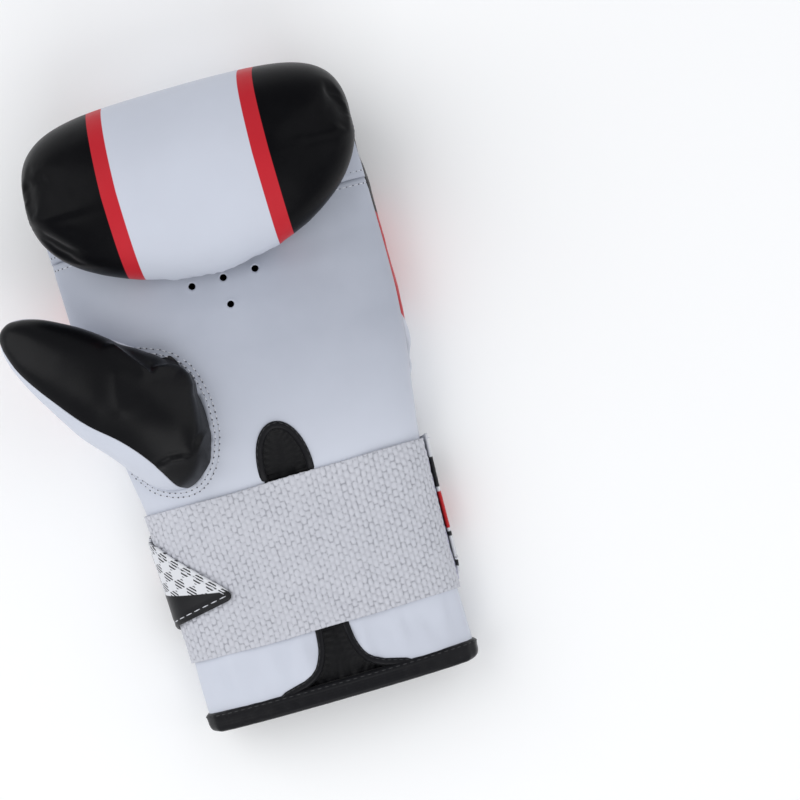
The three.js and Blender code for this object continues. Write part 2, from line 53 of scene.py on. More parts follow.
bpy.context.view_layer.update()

# %% [markdown]
# ## The form under the leather
#
# A glove is sewn round a soft form, so every panel follows the same surface. It could be read
# back from the CAD mesh, but a mesh has facets. Here the form is a function instead: an oval
# section that changes from the hem to the knuckles. Any panel, strap or stitch is then laid on
# it at a chosen height, and comes out smooth at any resolution.

# %% Units, and a curve through a few measurements
MM = 0.001
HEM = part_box("hem_binding")[0].y
FOLD = 226.0  # hem to the fold under the knuckle roll, in millimetres as all lengths below
FOLD_Z = 42  # height of the fold


def hump(x, middle, width):
    """A soft hump: 1 in its middle, and falling off on both sides."""
    return math.exp(-(((x - middle) / width) ** 2))


def clamp(x):
    return min(max(x, 0.0), 1.0)


def place(x, y, z):
    """A point from millimetres across, from the hem and above the table."""
    return Vector((x * MM, HEM + y * MM, z * MM))


def along(rows, at, column):
    """Reads one column of a table between its rows, without overshoot."""
    if at <= rows[0][0]:
        return rows[0][column]
    for i in range(len(rows) - 1):
        (a, b), span = (rows[i], rows[i + 1]), rows[i + 1][0] - rows[i][0]
        if at > b[0]:
            continue

        def bend(j):
            if j in (0, len(rows) - 1):
                return 0.0
            left, right = (
                (rows[k + 1][column] - rows[k][column]) / (rows[k + 1][0] - rows[k][0]) for k in (j - 1, j)
            )
            return 0.0 if left * right <= 0 else 2 * left * right / (left + right)

        t = (at - a[0]) / span
        start, end = 2 * t**3 - 3 * t**2 + 1, 3 * t**2 - 2 * t**3
        return (
            start * a[column]
            + end * b[column]
            + (t**3 - 2 * t**2 + t) * span * bend(i)
            + (t**3 - t**2) * span * bend(i + 1)
        )
    return rows[-1][column]


# %% The oval sections: distance from the hem, half width, height of the side seam, top
SECTIONS = [
    (0, 58, 17, 34),
    (40.7, 58, 17, 34.7),
    (90.4, 59.6, 18.4, 38.1),
    (117.5, 63, 20.7, 42.3),
    (140.1, 66.2, 22.5, 44.6),
    (165, 68, 24.8, 45),
    (187.6, 68.3, 27.7, 42.8),
    (210.2, 68.3, 32.8, 41.2),
    (FOLD, 68, 38.3, 38.6),
]
UNDERSIDE = [(0, 4), (104, 4), (117, 3.6), (128, 0)]


@functools.lru_cache(maxsize=None)
def section(y):
    return tuple(along(SECTIONS, y, c) for c in (1, 2, 3)) + (along(UNDERSIDE, y, 1),)


# %% [markdown]
# Each half of the oval is a superellipse: rounder than a box and squarer than an ellipse. Taken
# by angle, its points bunch up at the shoulders, and a knit drawn on it would stretch. So the
# half oval is measured once, and its points are shared out evenly along its length.


# %% A half oval with its points evenly spread
def half_oval(power, flat, aspect, count=600):
    """Points (across -1..1, rise 0..1) at even steps along the curve."""
    raw = []
    for i in range(count + 1):
        angle = math.pi * (1 - i / count)
        side, reach = math.copysign(1, math.cos(angle)), abs(math.cos(angle)) ** (2 / power)
        raw.append((side * (flat + (1 - flat) * reach), max(math.sin(angle), 0) ** (2 / power)))
    steps = [math.hypot(b[0] - a[0], (b[1] - a[1]) * aspect) for a, b in zip(raw, raw[1:])]
    total, walked, out, i = sum(steps), 0.0, [], 0
    for k in range(count + 1):
        goal = total * k / count
        while i < count - 1 and walked + steps[i] < goal:
            walked += steps[i]
            i += 1
        t = min((goal - walked) / max(steps[i], 1e-9), 1)
        out.append(tuple(raw[i][c] + (raw[i + 1][c] - raw[i][c]) * t for c in (0, 1)))
    return out


PALM = half_oval(2.4, 0.0, 0.33)
BACK = half_oval(3.4, 0.34, 0.42)


def read(table, u):
    at = clamp(u) * (len(table) - 1)
    i = min(int(at), len(table) - 2)
    return tuple(table[i][c] + (table[i + 1][c] - table[i][c]) * (at - i) for c in (0, 1))


def share_at(table, across):
    """The share of the way along the half oval at which it is that far across, -1..1."""
    low, high = 0.0, 1.0
    for _ in range(30):
        middle = (low + high) / 2
        low, high = (middle, high) if read(table, middle)[0] < across else (low, middle)
    return low


# %% Points on the palm side and on the back
def palm(u, y, lift=0.0):
    """The palm side at a share u from the thumb's seam to the far one, lifted off the form."""
    half, seam, top, _ = section(y)
    x, rise = read(PALM, u)
    return place(x * (half + lift), y, seam + rise * max(top - seam + lift, 0.15))


def back(u, y, lift=0.0):
    half, seam, _, bottom = section(y)
    x, rise = read(BACK, u)
    return place(x * (half + lift), y, seam - rise * (seam - bottom + lift))


def arc(side, y):
    points = [side(i / 80, y) for i in range(81)]
    return sum((b - a).length for a, b in zip(points, points[1:])) / MM


PALM_ARC = arc(palm, 150)
WRIST_PALM, WRIST_BACK = arc(palm, 64), arc(back, 64)
print("arc over the palm", round(PALM_ARC, 1), "wrist", round(WRIST_PALM, 1), round(WRIST_BACK, 1))


def wrist(q, y, lift=0.0):
    """A point q millimetres round the wrist from the thumb's seam: over the palm if positive."""
    if q < 0:
        return back(-q / WRIST_BACK, y, lift)
    if q > WRIST_PALM:
        return back(1 - (q - WRIST_PALM) / WRIST_BACK, y, lift)
    return palm(q / WRIST_PALM, y, lift)


def across_palm(x, y):
    """Millimetres from the thumb's seam over the palm to x."""
    return PALM_ARC * share_at(PALM, x / section(y)[0])


def palm_mm(s, y, lift=0.0):
    return palm(s / PALM_ARC, y, lift)


# %% [markdown]
# ## Cutting patterns
#
# A maker cuts a flat pattern and lays it over the form. The same is done here: a grid is made
# flat, in millimetres of leather, holes and edges are cut in it, and only then is it laid on the
# form. The flat place of each point is kept as a UV map, so a knit or a print follows the piece.
# A cut moves the nearest points of the grid onto the line, which keeps the edge clean where a
# boolean would leave slivers.


# %% A flat pattern, cut along any line
def pattern(x_range, y_range, cell):
    bm = bmesh.new()
    width, height = x_range[1] - x_range[0], y_range[1] - y_range[0]
    columns, rows = (max(round(length / cell), 2) for length in (width, height))
    bmesh.ops.create_grid(bm, x_segments=columns, y_segments=rows, size=0.5)
    middle = Vector(((x_range[0] + x_range[1]) / 2, (y_range[0] + y_range[1]) / 2, 0))
    bmesh.ops.scale(bm, vec=(width, height, 1), verts=bm.verts)
    bmesh.ops.translate(bm, vec=middle, verts=bm.verts)
    return bm


def cut(bm, distance):
    """Takes away what has a negative distance, with its border moved onto the line."""
    values = {v: distance(v.co.x, v.co.y) for v in bm.verts}
    moves = {}
    for edge in bm.edges:
        a, b = edge.verts
        if values[a] * values[b] < 0:
            t = values[a] / (values[a] - values[b])
            near, goal, how = (a, b, t) if t < 0.5 else (b, a, 1 - t)
            if near not in moves or how < moves[near][1]:
                moves[near] = (near.co.lerp(goal.co, how), how)
    for v, (goal, _) in moves.items():
        v.co, values[v] = goal, 0.0
    for face in list(bm.faces):
        signs = [values[v] for v in face.verts]
        on = [v for v in face.verts if values[v] == 0.0]
        if min(signs) < 0 < max(signs) and len(on) == 2:
            bmesh.ops.connect_verts(bm, verts=on)
    gone = [f for f in bm.faces if min(values[v] for v in f.verts) < 0]
    bmesh.ops.delete(bm, geom=gone, context="FACES")


def nearest(outline, x, y, closed=True):
    """(distance, length walked) of the outline's point nearest to x, y."""
    best, walked, found = 1e9, 0.0, 0.0
    ends = outline[1:] + outline[:1] if closed else outline[1:]
    for (ax, ay), (bx, by) in zip(outline, ends):
        dx, dy = bx - ax, by - ay
        length = math.hypot(dx, dy)
        t = min(max(((x - ax) * dx + (y - ay) * dy) / max(length**2, 1e-9), 0), 1)
        d = math.hypot(x - ax - dx * t, y - ay - dy * t)
        if d < best:
            best, found = d, walked + length * t
        walked += length
    return best, found


def inside(outline, x, y):
    hit = False
    for (ax, ay), (bx, by) in zip(outline, outline[1:] + outline[:1]):
        if (ay > y) != (by > y) and x < (bx - ax) * (y - ay) / (by - ay) + ax:
            hit = not hit
    return hit


def beyond(outline, margin=0.0):
    """A distance that is negative inside the outline grown by margin."""
    return lambda x, y: nearest(outline, x, y)[0] * (-1 if inside(outline, x, y) else 1) - margin


# %% Laying a pattern on the form, and making it an object
def lay(bm, shape, drawn=lambda x, y: (x, y)):
    """Lays a pattern on a shape. The UV map holds its flat place, or another that is drawn on it."""
    flat = bm.loops.layers.uv.new("pattern")
    for face in bm.faces:
        for loop in face.loops:
            loop[flat].uv = tuple(c * MM for c in drawn(loop.vert.co.x, loop.vert.co.y))
    for v in bm.verts:
        v.co = shape(v.co.x, v.co.y)


def finish_piece(name, bm, material, slot, *nodes):
    """A smooth object at the origin that rides on the glove and stands for its CAD nodes."""
    mesh = bpy.data.meshes.new(name)
    bm.to_mesh(mesh)
    bm.free()
    mesh.shade_smooth()
    mesh.materials.append(material)
    obj = bpy.data.objects.new(name, mesh)
    scene.collection.objects.link(obj)
    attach(obj, "root")
    if nodes:
        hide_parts(*nodes)
    return obj


def face_out(bm, centre):
    """Turns an open sheet's faces away from a point inside the glove."""
    bm.normal_update()
    votes = sum(f.normal.dot(f.calc_center_median() - centre) for f in bm.faces)
    if votes < 0:
        bmesh.ops.reverse_faces(bm, faces=bm.faces)


def wall(obj, thickness, lining=None):
    """Gives a sheet its thickness, inwards, and a lining on the inside."""
    shell = obj.modifiers.new("thickness", "SOLIDIFY")
    shell.thickness, shell.offset, shell.use_even_offset = thickness * MM, -1, False
    if lining:
        obj.data.materials.append(lining)
        shell.material_offset = 1
    return obj


def laid(name, bm, shape, material, slot, node, thickness, lining=None, within=(0, 60, 17), **drawn):
    """A pattern laid on a shape, turned away from a point inside, and given its thickness."""
    lay(bm, shape, **drawn)
    if within:
        face_out(bm, place(*within))
    return wall(finish_piece(name, bm, material, slot, node), thickness, lining)


def soften(obj):
    smooth = obj.modifiers.new("smooth", "SUBSURF")
    smooth.levels = smooth.render_levels = 1


def ripple(p, size, seed=0.0):
    """Soft repeatable noise from -1 to 1 at a size in millimetres."""
    return noise.noise(Vector((p.x, p.y, p.z)) / (size * MM) + Vector((seed, 2 * seed, -seed)))


def flat_ripple(x, y, size, seed=0.0):
    """The same noise at a place on a flat pattern, in millimetres."""
    return ripple(Vector((x, y, 0)) * MM, size, seed)


# %% [markdown]
# ## Materials from expressions
#
# A finish is built from nodes, and nodes are easier to read as sums. One small class wraps a
# socket and turns Python's own operators into Math nodes, so a mask can be written 1 - mask.
# Every other node comes from one method, which sets its settings first and its sockets after.


# %% One class for shader maths, and one method for every other node
class Wire:
    """A node's output that can be added, multiplied and compared."""

    def __init__(self, recipe, socket):
        self.recipe, self.socket = recipe, socket

    def maths(self, operation, *values, clamp=False):
        return self.recipe.maths_of(operation, *values, clamp=clamp)

    def __add__(self, other):
        return self.maths("ADD", self, other)

    def __sub__(self, other):
        return self.maths("SUBTRACT", self, other)

    def __rsub__(self, other):
        return self.maths("SUBTRACT", other, self)

    def __mul__(self, other):
        return self.maths("MULTIPLY", self, other)

    def __truediv__(self, other):
        return self.maths("DIVIDE", self, other)

    def __pow__(self, other):
        return self.maths("POWER", self, other)

    def __abs__(self):
        return self.maths("ABSOLUTE", self)

    __radd__, __rmul__ = __add__, __mul__

    def sine(self):
        return self.maths("SINE", self)

    def least(self, other):
        return self.maths("MINIMUM", self, other)

    def most(self, other):
        return self.maths("MAXIMUM", self, other)

    def above(self, limit, blur):
        """0 below a limit and 1 above it, with a blurred step."""
        return self.maths("ADD", (self - limit) / blur, 0.5, clamp=True)


class Finish:
    """A material made of nodes round one Principled shader."""

    def __init__(self, name):
        self.material = bpy.data.materials.new(name)
        self.material.use_nodes = True
        self.tree = self.material.node_tree
        self.shader = self.tree.nodes["Principled BSDF"]

    def node(self, kind, sockets=(), output=0, stops=None, points=None, **settings):
        made = self.tree.nodes.new(kind)
        for key, value in settings.items():
            setattr(made, key, value)
        if stops:
            ramp = made.color_ramp
            while len(ramp.elements) < len(stops):
                ramp.elements.new(0.5)
            for element, (at, colour) in zip(ramp.elements, stops):
                element.position, element.color = at, (*colour, 1)
        if points:
            curve = made.mapping.curves[0]
            for at, value in points[1:-1]:
                curve.points.new(at, value)
            curve.points[0].location, curve.points[-1].location = points[0], points[-1]
            made.mapping.update()
        self.plug(made, sockets)
        return Wire(self, made.outputs[output])

    def maths_of(self, operation, *values, clamp=False):
        return self.node("ShaderNodeMath", values, operation=operation, use_clamp=clamp)

    def plug(self, made, sockets):
        pairs = sockets.items() if isinstance(sockets, dict) else enumerate(sockets)
        for key, value in pairs:
            if isinstance(value, Wire):
                self.tree.links.new(value.socket, made.inputs[key])
            else:
                made.inputs[key].default_value = value

    def surface(self, **sockets):
        """Sets the shader's sockets: base_color goes to Base Color."""
        names = {"specular_ior_level": "Specular IOR Level"}
        for key, value in sockets.items():
            self.plug(self.shader, {names.get(key, key.replace("_", " ").title()): value})
        return self.material

    def place(self):
        """Object coordinates in metres, as one vector and as x, y and z."""
        spot = self.node("ShaderNodeTexCoord", output=3)
        return spot, *(self.node("ShaderNodeSeparateXYZ", [spot], output=i) for i in range(3))

    def flat(self):
        """The place on the cut pattern in metres, as one vector and as x and y."""
        spot = self.node("ShaderNodeUVMap", uv_map="pattern")
        return spot, *(self.node("ShaderNodeSeparateXYZ", [spot], output=i) for i in range(2))

    def mottle(self, spot, scale, detail=2.0, roughness=0.5):
        sockets = {"Vector": spot, "Scale": scale, "Detail": detail, "Roughness": roughness}
        return self.node("ShaderNodeTexNoise", sockets)

    def blend(self, factor, first, second):
        first, second = ((*c, 1) if isinstance(c, tuple) else c for c in (first, second))
        return self.node("ShaderNodeMix", {0: factor, 6: first, 7: second}, output=2, data_type="RGBA")

    def raised(self, height, distance, strength=1.0):
        """A normal from a height of 0 to 1, at a real depth in millimetres."""
        sockets = {"Strength": strength, "Distance": distance * MM, "Height": height}
        return self.node("ShaderNodeBump", sockets)


# %% [markdown]
# ## Leather
#
# The shell is coated leather: a smooth, slightly glossy skin over a cloth backing. The coating
# has a fine pebble of under a millimetre, soft creases a few millimetres long, and it dulls in
# patches where it has been handled. The white takes a faint grey here and there. All leathers
# here share this recipe, so it is a function that adds the grain to any base colour. The palm has
# painted shade: it is greyer towards the knuckle roll and towards its far side edge. The thumb's
# white sheath is black over its root, where the black face ends a little short of the seam.

# %% Colours and the shared leather grain
WHITE, SHADED_WHITE = (0.60, 0.63, 0.71), (0.565, 0.59, 0.665)
# The grey of the painted shade on the palm.
PALM_SHADE_WHITE = (0.385, 0.41, 0.48)
BLACK, WORN_BLACK = (0.0022, 0.0022, 0.003), (0.006, 0.006, 0.007)
RED, DEEP_RED = (0.56, 0.026, 0.038), (0.47, 0.019, 0.028)


def leather(finish, spot, grain=0.45, gloss=0.42, shine=0.38):
    """Roughness and normal of coated leather."""
    pebble = finish.node("ShaderNodeTexVoronoi", {"Vector": spot, "Scale": 1500.0}, feature="SMOOTH_F1")
    fine, creases = finish.mottle(spot, 2600.0, 2), finish.mottle(spot, 130.0, 3, 0.6)
    height = pebble * 0.5 + fine * 0.3 + creases * 1.6
    handled = finish.mottle(spot, 28.0, 3, 0.55)
    return {
        "roughness": (handled - 0.5) * 0.22 + pebble * 0.05 + gloss,
        "normal": finish.raised(height, 0.05, grain),
        "specular_ior_level": shine,
    }


def seam_shade(finish, amount):
    """How near a seam the surface is, 0 to 1, from the piece's own attribute."""
    return finish.node("ShaderNodeAttribute", output=2, attribute_name="seam") * amount


def clean_white(finish, spot):
    return finish.blend(finish.mottle(spot, 22.0, 3, 0.6).above(0.5, 0.5), WHITE, SHADED_WHITE)


def worn_black(finish, spot):
    return finish.blend(finish.mottle(spot, 60.0, 4, 0.6).above(0.62, 0.3) * 0.5, BLACK, WORN_BLACK)


# %% White leather and black leather
white = Finish("white coated leather")
spot, *_ = white.place()
tone = white.blend(seam_shade(white, 0.35), clean_white(white, spot), (0.50, 0.51, 0.55))
white_leather = white.surface(base_color=tone, **leather(white, spot))

# The palm's colour has painted shade: grey under the knuckle roll, and along the far side edge that turns
# away from the light.
handled = Finish("white leather of the palm with painted shade")
spot, x, y, _ = handled.place()
clean = clean_white(handled, spot)
uneven = (handled.mottle(spot, 30.0, 3, 0.6) - 0.5) * 0.5
# Painted shade: greyer from 126 mm past the hem up towards the roll, a little unevenly.
shade_toward_roll = (y - (HEM + 0.126)).above(0.0, 0.052) * (0.85 + uneven)
# Painted shade along the far side edge, near the roll.
far_edge_shade = (x - 0.056).above(0.0, 0.022) * (y - (HEM + 0.12)).above(0.0, 0.04) * 0.55
tone = handled.blend(shade_toward_roll.most(far_edge_shade), clean, PALM_SHADE_WHITE)
palm_white = handled.surface(base_color=tone, **leather(handled, spot))

THUMB_ROOT = (-0.033, HEM + 0.157)
ROOT_RADIUS, PAINT_EDGE = 0.0115, 0.0005
lined = Finish("white leather of the thumb, black over its root")
spot, x, y, _ = lined.place()
tone = clean_white(lined, spot)
off_x, off_y = x - THUMB_ROOT[0], y - THUMB_ROOT[1]
past_root = ((off_x * off_x + off_y * off_y) ** 0.5).above(ROOT_RADIUS, PAINT_EDGE)
thumb_white = lined.surface(base_color=lined.blend(past_root, BLACK, tone), **leather(lined, spot))

black = Finish("black coated leather")
spot, *_ = black.place()
black_leather = black.surface(base_color=worn_black(black, spot), **leather(black, spot, 0.7, 0.31, 0.17))

# %% [markdown]
# The padded back is printed: white down the middle, a red stripe each side, and black outside.
# The stripes run straight over the knuckle roll and flare to the sides on the back. Each edge of
# the print is a curve that gives how far across it lies at a distance from the hem, and a point
# is on one side of it or the other. That keeps the edge as sharp as print at any zoom.

# %% Printed leather of the padded back
PRINT_LOW, PRINT_HIGH, PRINT_HALF = 120.0, 286.0, 90.0  # span of the curves, in millimetres
THUMB_BLACK = [(120, -90), (186, -78), (191.7, -69.8), (197, -60), (206, -53), (221, -44.5)]
THUMB_BLACK += [(234, -39), (256, -36), (286, -36.8)]
THUMB_RED = [(120, -78), (139.6, -67.1), (166, -55.5), (182, -47), (198.5, -38.5), (219.5, -32.5)]
THUMB_RED += [(231, -29.5), (256, -29), (286, -30.4)]
FAR_RED = [(120, 78), (137.7, 71.1), (175, 58.5), (204.5, 48.5), (230.7, 39), (256, 30.5), (286, 26.7)]
FAR_BLACK = [(120, 90), (180, 80), (186, 73.5), (202, 63.7), (219, 54), (233.7, 45.5), (256, 37)]
FAR_BLACK += [(286, 33.5)]
ROLL_LENGTH = 60.0  # what the half turn over the roll counts for on these curves

printed = Finish("printed leather of the padded back")
spot, x, y, z = printed.place()
fold_y, roll_z = HEM + FOLD * MM, 0.038
turned = printed.maths_of("ARCTAN2", z - roll_z, y - fold_y) + math.pi / 2
round_front = turned * (ROLL_LENGTH * MM / math.pi)
before_fold = (fold_y - y).above(0.0, 0.0002)
on_top = (z - roll_z).above(0.0, 0.0002) * 0.3  # far past the curves' end, so that it reads their last value
walked = before_fold * (y - fold_y + on_top) + (1 - before_fold) * round_front
reach = ((walked + (FOLD - PRINT_LOW) * MM) / ((PRINT_HIGH - PRINT_LOW) * MM)).least(1.0)


def past_line(points):
    """1 where the surface lies further across than a printed edge."""
    scaled = [((a - PRINT_LOW) / (PRINT_HIGH - PRINT_LOW), b / PRINT_HALF / 2 + 0.5) for a, b in points]
    curve = printed.node("ShaderNodeFloatCurve", {"Factor": 1.0, "Value": reach}, points=scaled)
    return (x - (curve - 0.5) * (2 * PRINT_HALF * MM)).above(0.0, 0.00025)


in_red = past_line(THUMB_BLACK) * (1 - past_line(FAR_BLACK))
in_white = past_line(THUMB_RED) * (1 - past_line(FAR_RED))
pale, dark = clean_white(printed, spot), worn_black(printed, spot)
red = printed.blend(printed.mottle(spot, 35.0, 3, 0.5), RED, DEEP_RED)
tone = printed.blend(in_white, printed.blend(in_red, dark, red), pale)
tone = printed.blend(seam_shade(printed, 0.3), tone, (0.0, 0.0, 0.0))
pad_leather = printed.surface(base_color=tone, **leather(printed, spot, 0.5, 0.33, 0.07))

# %% [markdown]
# ## Cloth, webbing and thread
#
# The wrist has three textiles. The gusset and the bindings are black satin tape: very fine ribs
# with a soft sheen. The elastic is knitted in fat white stitches, which are modelled, so the
# material only adds the yarn and painted shade: grey between the stitches and short dark dashes
# in the grooves. The loop tape is a short pile. Satin and elastic read the flat pattern, so their
# weave turns with the cloth.

# %% Black satin, black tape and black lining
def satin(name, colour, ribs, gloss):
    finish = Finish(name)
    spot, across, down = finish.flat()
    rib = (down * ribs).sine() * 0.5 + 0.5
    twill = ((across + down) * (ribs * 1.7)).sine() * 0.5 + 0.5
    lint = finish.mottle(finish.place()[0], 900.0, 4, 0.7)
    tone = finish.blend(lint.above(0.66, 0.2) * 0.4, colour, tuple(c * 3 + 0.01 for c in colour))
    return finish.surface(
        base_color=tone,
        roughness=(lint - 0.5) * 0.2 + gloss,
        normal=finish.raised(rib * 0.6 + twill * 0.4, 0.08, 0.5),
        specular_ior_level=0.16,
        sheen_weight=0.03,
    )


gusset_satin = satin("black satin of the gusset", (0.004, 0.004, 0.005), 6300.0, 0.42)
tape_satin = satin("black binding tape", (0.005, 0.005, 0.0065), 5200.0, 0.36)
lining_cloth = satin("black lining", (0.01, 0.01, 0.011), 4200.0, 0.7)

# %% Knitted elastic
KNIT_ACROSS, KNIT_DOWN = 2.15, 3.4  # width and height of a stitch of the elastic, in millimetres
knit = Finish("white knitted elastic")
spot, across, down = knit.flat()
turns, rows = across * (math.pi / (KNIT_ACROSS * MM)), down * (math.pi / (KNIT_DOWN * MM))
odd = turns.sine().above(0.0, 0.02)  # every other column is half a stitch higher
scale = abs(turns.sine()) * (abs(rows.sine()) * odd + abs((rows + math.pi / 2).sine()) * (1 - odd))
yarn = (across * 9000.0 + down * 5200.0).sine() * 0.5 + 0.5
fuzz = knit.mottle(knit.place()[0], 1400.0, 4, 0.7)
# Painted shade: short dark dashes in some of the grooves between stitches.
groove_shade = (1 - scale.above(0.22, 0.3)) * knit.mottle(knit.place()[0], 520.0, 2, 0.6).above(0.54, 0.12)
tone = knit.blend(knit.mottle(spot, 60.0, 3, 0.6), (0.55, 0.56, 0.61), (0.62, 0.625, 0.675))
# Painted shade: grey where the stitch is low, between the stitches.
tone = knit.blend((1 - scale.above(0.35, 0.7)) * 0.4, tone, (0.42, 0.425, 0.465))
tone = knit.blend(groove_shade * 0.55, tone, (0.20, 0.205, 0.235))
tone = knit.blend(fuzz.above(0.6, 0.3) * 0.2, tone, (0.46, 0.465, 0.50))
elastic = knit.surface(
    base_color=tone,
    roughness=0.8 + fuzz * 0.12,
    normal=knit.raised(yarn * 0.6 + fuzz * 0.8, 0.12, 0.6),
    specular_ior_level=0.25,
    sheen_weight=0.2,
)

# %% Loop tape, and the threads
pile = Finish("pale loop pile")
spot, *_ = pile.place()
loops = pile.node("ShaderNodeTexVoronoi", {"Vector": spot, "Scale": 1100.0})
curl = pile.mottle(spot, 700.0, 5, 0.75)
tone = pile.blend(loops.above(0.35, 0.5), (0.66, 0.66, 0.78), (0.40, 0.40, 0.52))
loop_pile = pile.surface(
    base_color=pile.blend(curl.above(0.55, 0.3) * 0.4, tone, (0.75, 0.75, 0.84)),
    roughness=0.9,
    normal=pile.raised(curl + loops * 0.6, 0.4, 0.8),
    sheen_weight=0.3,
)


def thread(name, colour, shade):
    finish = Finish(name)
    spot, x, y, z = finish.place()
    twist = ((x + y * 1.3 + z) * 9000.0).sine() * 0.5 + 0.5
    return finish.surface(
        base_color=finish.blend(twist * 0.6, colour, shade),
        roughness=0.55 + finish.mottle(spot, 900.0) * 0.2,
        normal=finish.raised(twist, 0.06, 0.6),
    )


white_thread = thread("white thread", (0.70, 0.71, 0.75), (0.45, 0.46, 0.50))
black_thread = thread("black thread", (0.012, 0.012, 0.014), (0.03, 0.03, 0.033))
# Painted shade: the dark beads at each end of a stitch stand for the shade inside the needle holes.
needle_hole_shade = thread("painted shade in the needle holes", (0.05, 0.05, 0.062), (0.10, 0.10, 0.12))

# %% [markdown]
# The patch is printed film on felt, with a plain design of its own: a white field, a red bar with
# black edges, and a common check at both ends.

# %% Printed patch
CHECK, HATCH = 0.0042, 3800.0  # side of a square in metres, and the fine lines in it
CHECK_BLACK = (0.006, 0.006, 0.008)
film = Finish("printed patch")
spot, q, y = film.flat()


def printed_past(value, limit=0.0):
    """1 above a limit, with an edge of a third of a millimetre."""
    return value.above(limit, 0.0003)


def band_of(low, high):
    """A band along the patch between two heights, as far as the pointed end."""
    return printed_past(rise - low) * printed_past(high - rise) * before_point


check = (q * (math.pi / CHECK)).sine() * (y * (math.pi / CHECK)).sine()
checked = check.above(0.06, 0.12) * ((q + y) * HATCH).sine().above(0.0, 0.5)
rise, before_point = y - q * 0.045, printed_past(-0.016 - q)
field = film.blend(checked * printed_past(q, -0.024), (0.70, 0.71, 0.74), CHECK_BLACK)
far_check = printed_past(-0.071 - q + (y - 0.03) * 0.5) * printed_past(0.050 - rise)
field = film.blend(checked * far_check, field, CHECK_BLACK)
field = film.blend(band_of(0.062, 0.078), field, (0.50, 0.008, 0.012))
edges = band_of(0.080, 0.093).most(band_of(0.0585, 0.0605))
field = film.blend(edges, field, (0.012, 0.012, 0.014))
wedge = printed_past((0.0625 - 0.17 * q) - y) * printed_past(q, -0.020)
field = film.blend(wedge, field, (0.003, 0.003, 0.004))
grease = film.mottle(film.place()[0], 60.0, 3, 0.6)
patch_print = film.surface(
    base_color=film.blend(grease * 0.04, field, (0.3, 0.3, 0.32)),
    roughness=0.34 + (grease - 0.5) * 0.2,
    normal=film.raised(film.mottle(film.place()[0], 420.0, 3, 0.6), 0.12, 0.4),
    specular_ior_level=0.25,
)

# %% [markdown]
# ## The thumb's form
#
# The thumb is a tapering sheath that leaves the palm at a low angle. Its centre line, its
# thickness and the tilt of its section are a table with one row for each station, and any point
# on it is given by a station and an angle. It is made before the palm, because the line where it
# leaves the palm is the line that the palm leather is cut along.

# %% Stations of the thumb and a point on its skin
# station, reach, lift, tilt, root's share, half width, half depth, end of the black face
THUMB = [
    (0, -0.03, -1, 86, 1, 0.97, 1.27, 0.6),
    (1, 0, -0.17, 78, 1, 0.97, 1.27, 0.6),
    (2, 0.07, 0.36, 57, 0.75, 1, 1.02, 0.66),
    (3, 0.2, 0.68, 34, 0.4, 0.97, 0.78, 0.79),
    (4, 0.42, 0.93, 16, 0.12, 0.83, 0.62, 0.95),
    (5, 0.66, 1, 6, 0, 0.68, 0.5, 1),
    (6, 0.84, 1, 2, 0, 0.51, 0.39, 1.02),
    (7, 0.95, 1, 0, 0, 0.31, 0.26, 1.02),
    (8, 1, 1, 0, 0, 0.13, 0.11, 1.02),
    (8.4, 1.008, 1, 0, 0, 0.02, 0.02, 1.02),
]
TIP = THUMB[-1][0]
COURSE, COURSE_AT_ROOT, ROOT_LEAN = 134, 98, -36  # degrees: where it points, and its lean at the root
FACE_START, FACE_END = -6, 145  # degrees round the section between which the leather is black
THUMB_FOOT, THUMB_LENGTH, THUMB_RISE, THUMB_HALF = Vector((-42.5, 134, 40)), 72.5, 12, 24


@functools.lru_cache(maxsize=None)
def thumb_frame(t):
    """Centre, half width and half depth as vectors, and where the black face starts and ends."""
    reach, lift, tilt, root, width, depth, face = (along(THUMB, t, c) for c in range(1, 8))
    turn, course = math.radians(COURSE + (COURSE_AT_ROOT - COURSE) * root), math.radians(COURSE)
    ahead = Vector((math.cos(turn), math.sin(turn), 0))
    lean = Matrix.Rotation(math.radians(ROOT_LEAN * root), 3, ahead)
    across = lean @ Vector((math.sin(turn), -math.cos(turn), 0))
    tilt = math.radians(tilt)
    up = (lean @ Vector((0, 0, 1))) * math.cos(tilt) - ahead * math.sin(tilt)
    main = Vector((math.cos(course), math.sin(course), 0))
    centre = THUMB_FOOT + main * (reach * THUMB_LENGTH) + Vector((0, 0, lift * THUMB_RISE))
    across, up = across * (width * THUMB_HALF), up * (depth * THUMB_HALF)
    return centre, across, up, FACE_START - 28 * root, face * FACE_END


def thumb_skin(t, degrees):
    centre, across, up, *_ = thumb_frame(t)
    turn = math.radians(degrees)
    return place(*(centre + across * math.cos(turn) + up * math.sin(turn)))


def within_glove(p):
    half, seam, top, _ = section(round((p.y - HEM) / MM, 2))
    rise = max(p.z / MM - seam, 0) / max(top - seam, 0.1)
    return (abs(p.x / MM) / half) ** 2.4 + rise**2.4 < 1


def leaves_palm(turn_at):
    """The last station at which a line along the thumb is still inside the glove."""
    t = TIP
    while t > 0 and not within_glove(thumb_skin(t, turn_at(t))):
        t = round(t - 0.05, 3)
    low, high = max(t, 0.0), min(t + 0.05, TIP)
    for _ in range(12):
        middle = (low + high) / 2
        still_in = within_glove(thumb_skin(middle, turn_at(middle)))
        low, high = (middle, high) if still_in else (low, middle)
    return low


# %% Where the thumb leaves the palm
def face_turn(a):
    """The angle at a share a of the way over the black face, by station."""
    return lambda t: thumb_frame(t)[3] + a * (thumb_frame(t)[4] - thumb_frame(t)[3])


def white_turn(a):
    """The same over the white back of the thumb."""
    return lambda t: thumb_frame(t)[4] + a * (360 + thumb_frame(t)[3] - thumb_frame(t)[4])


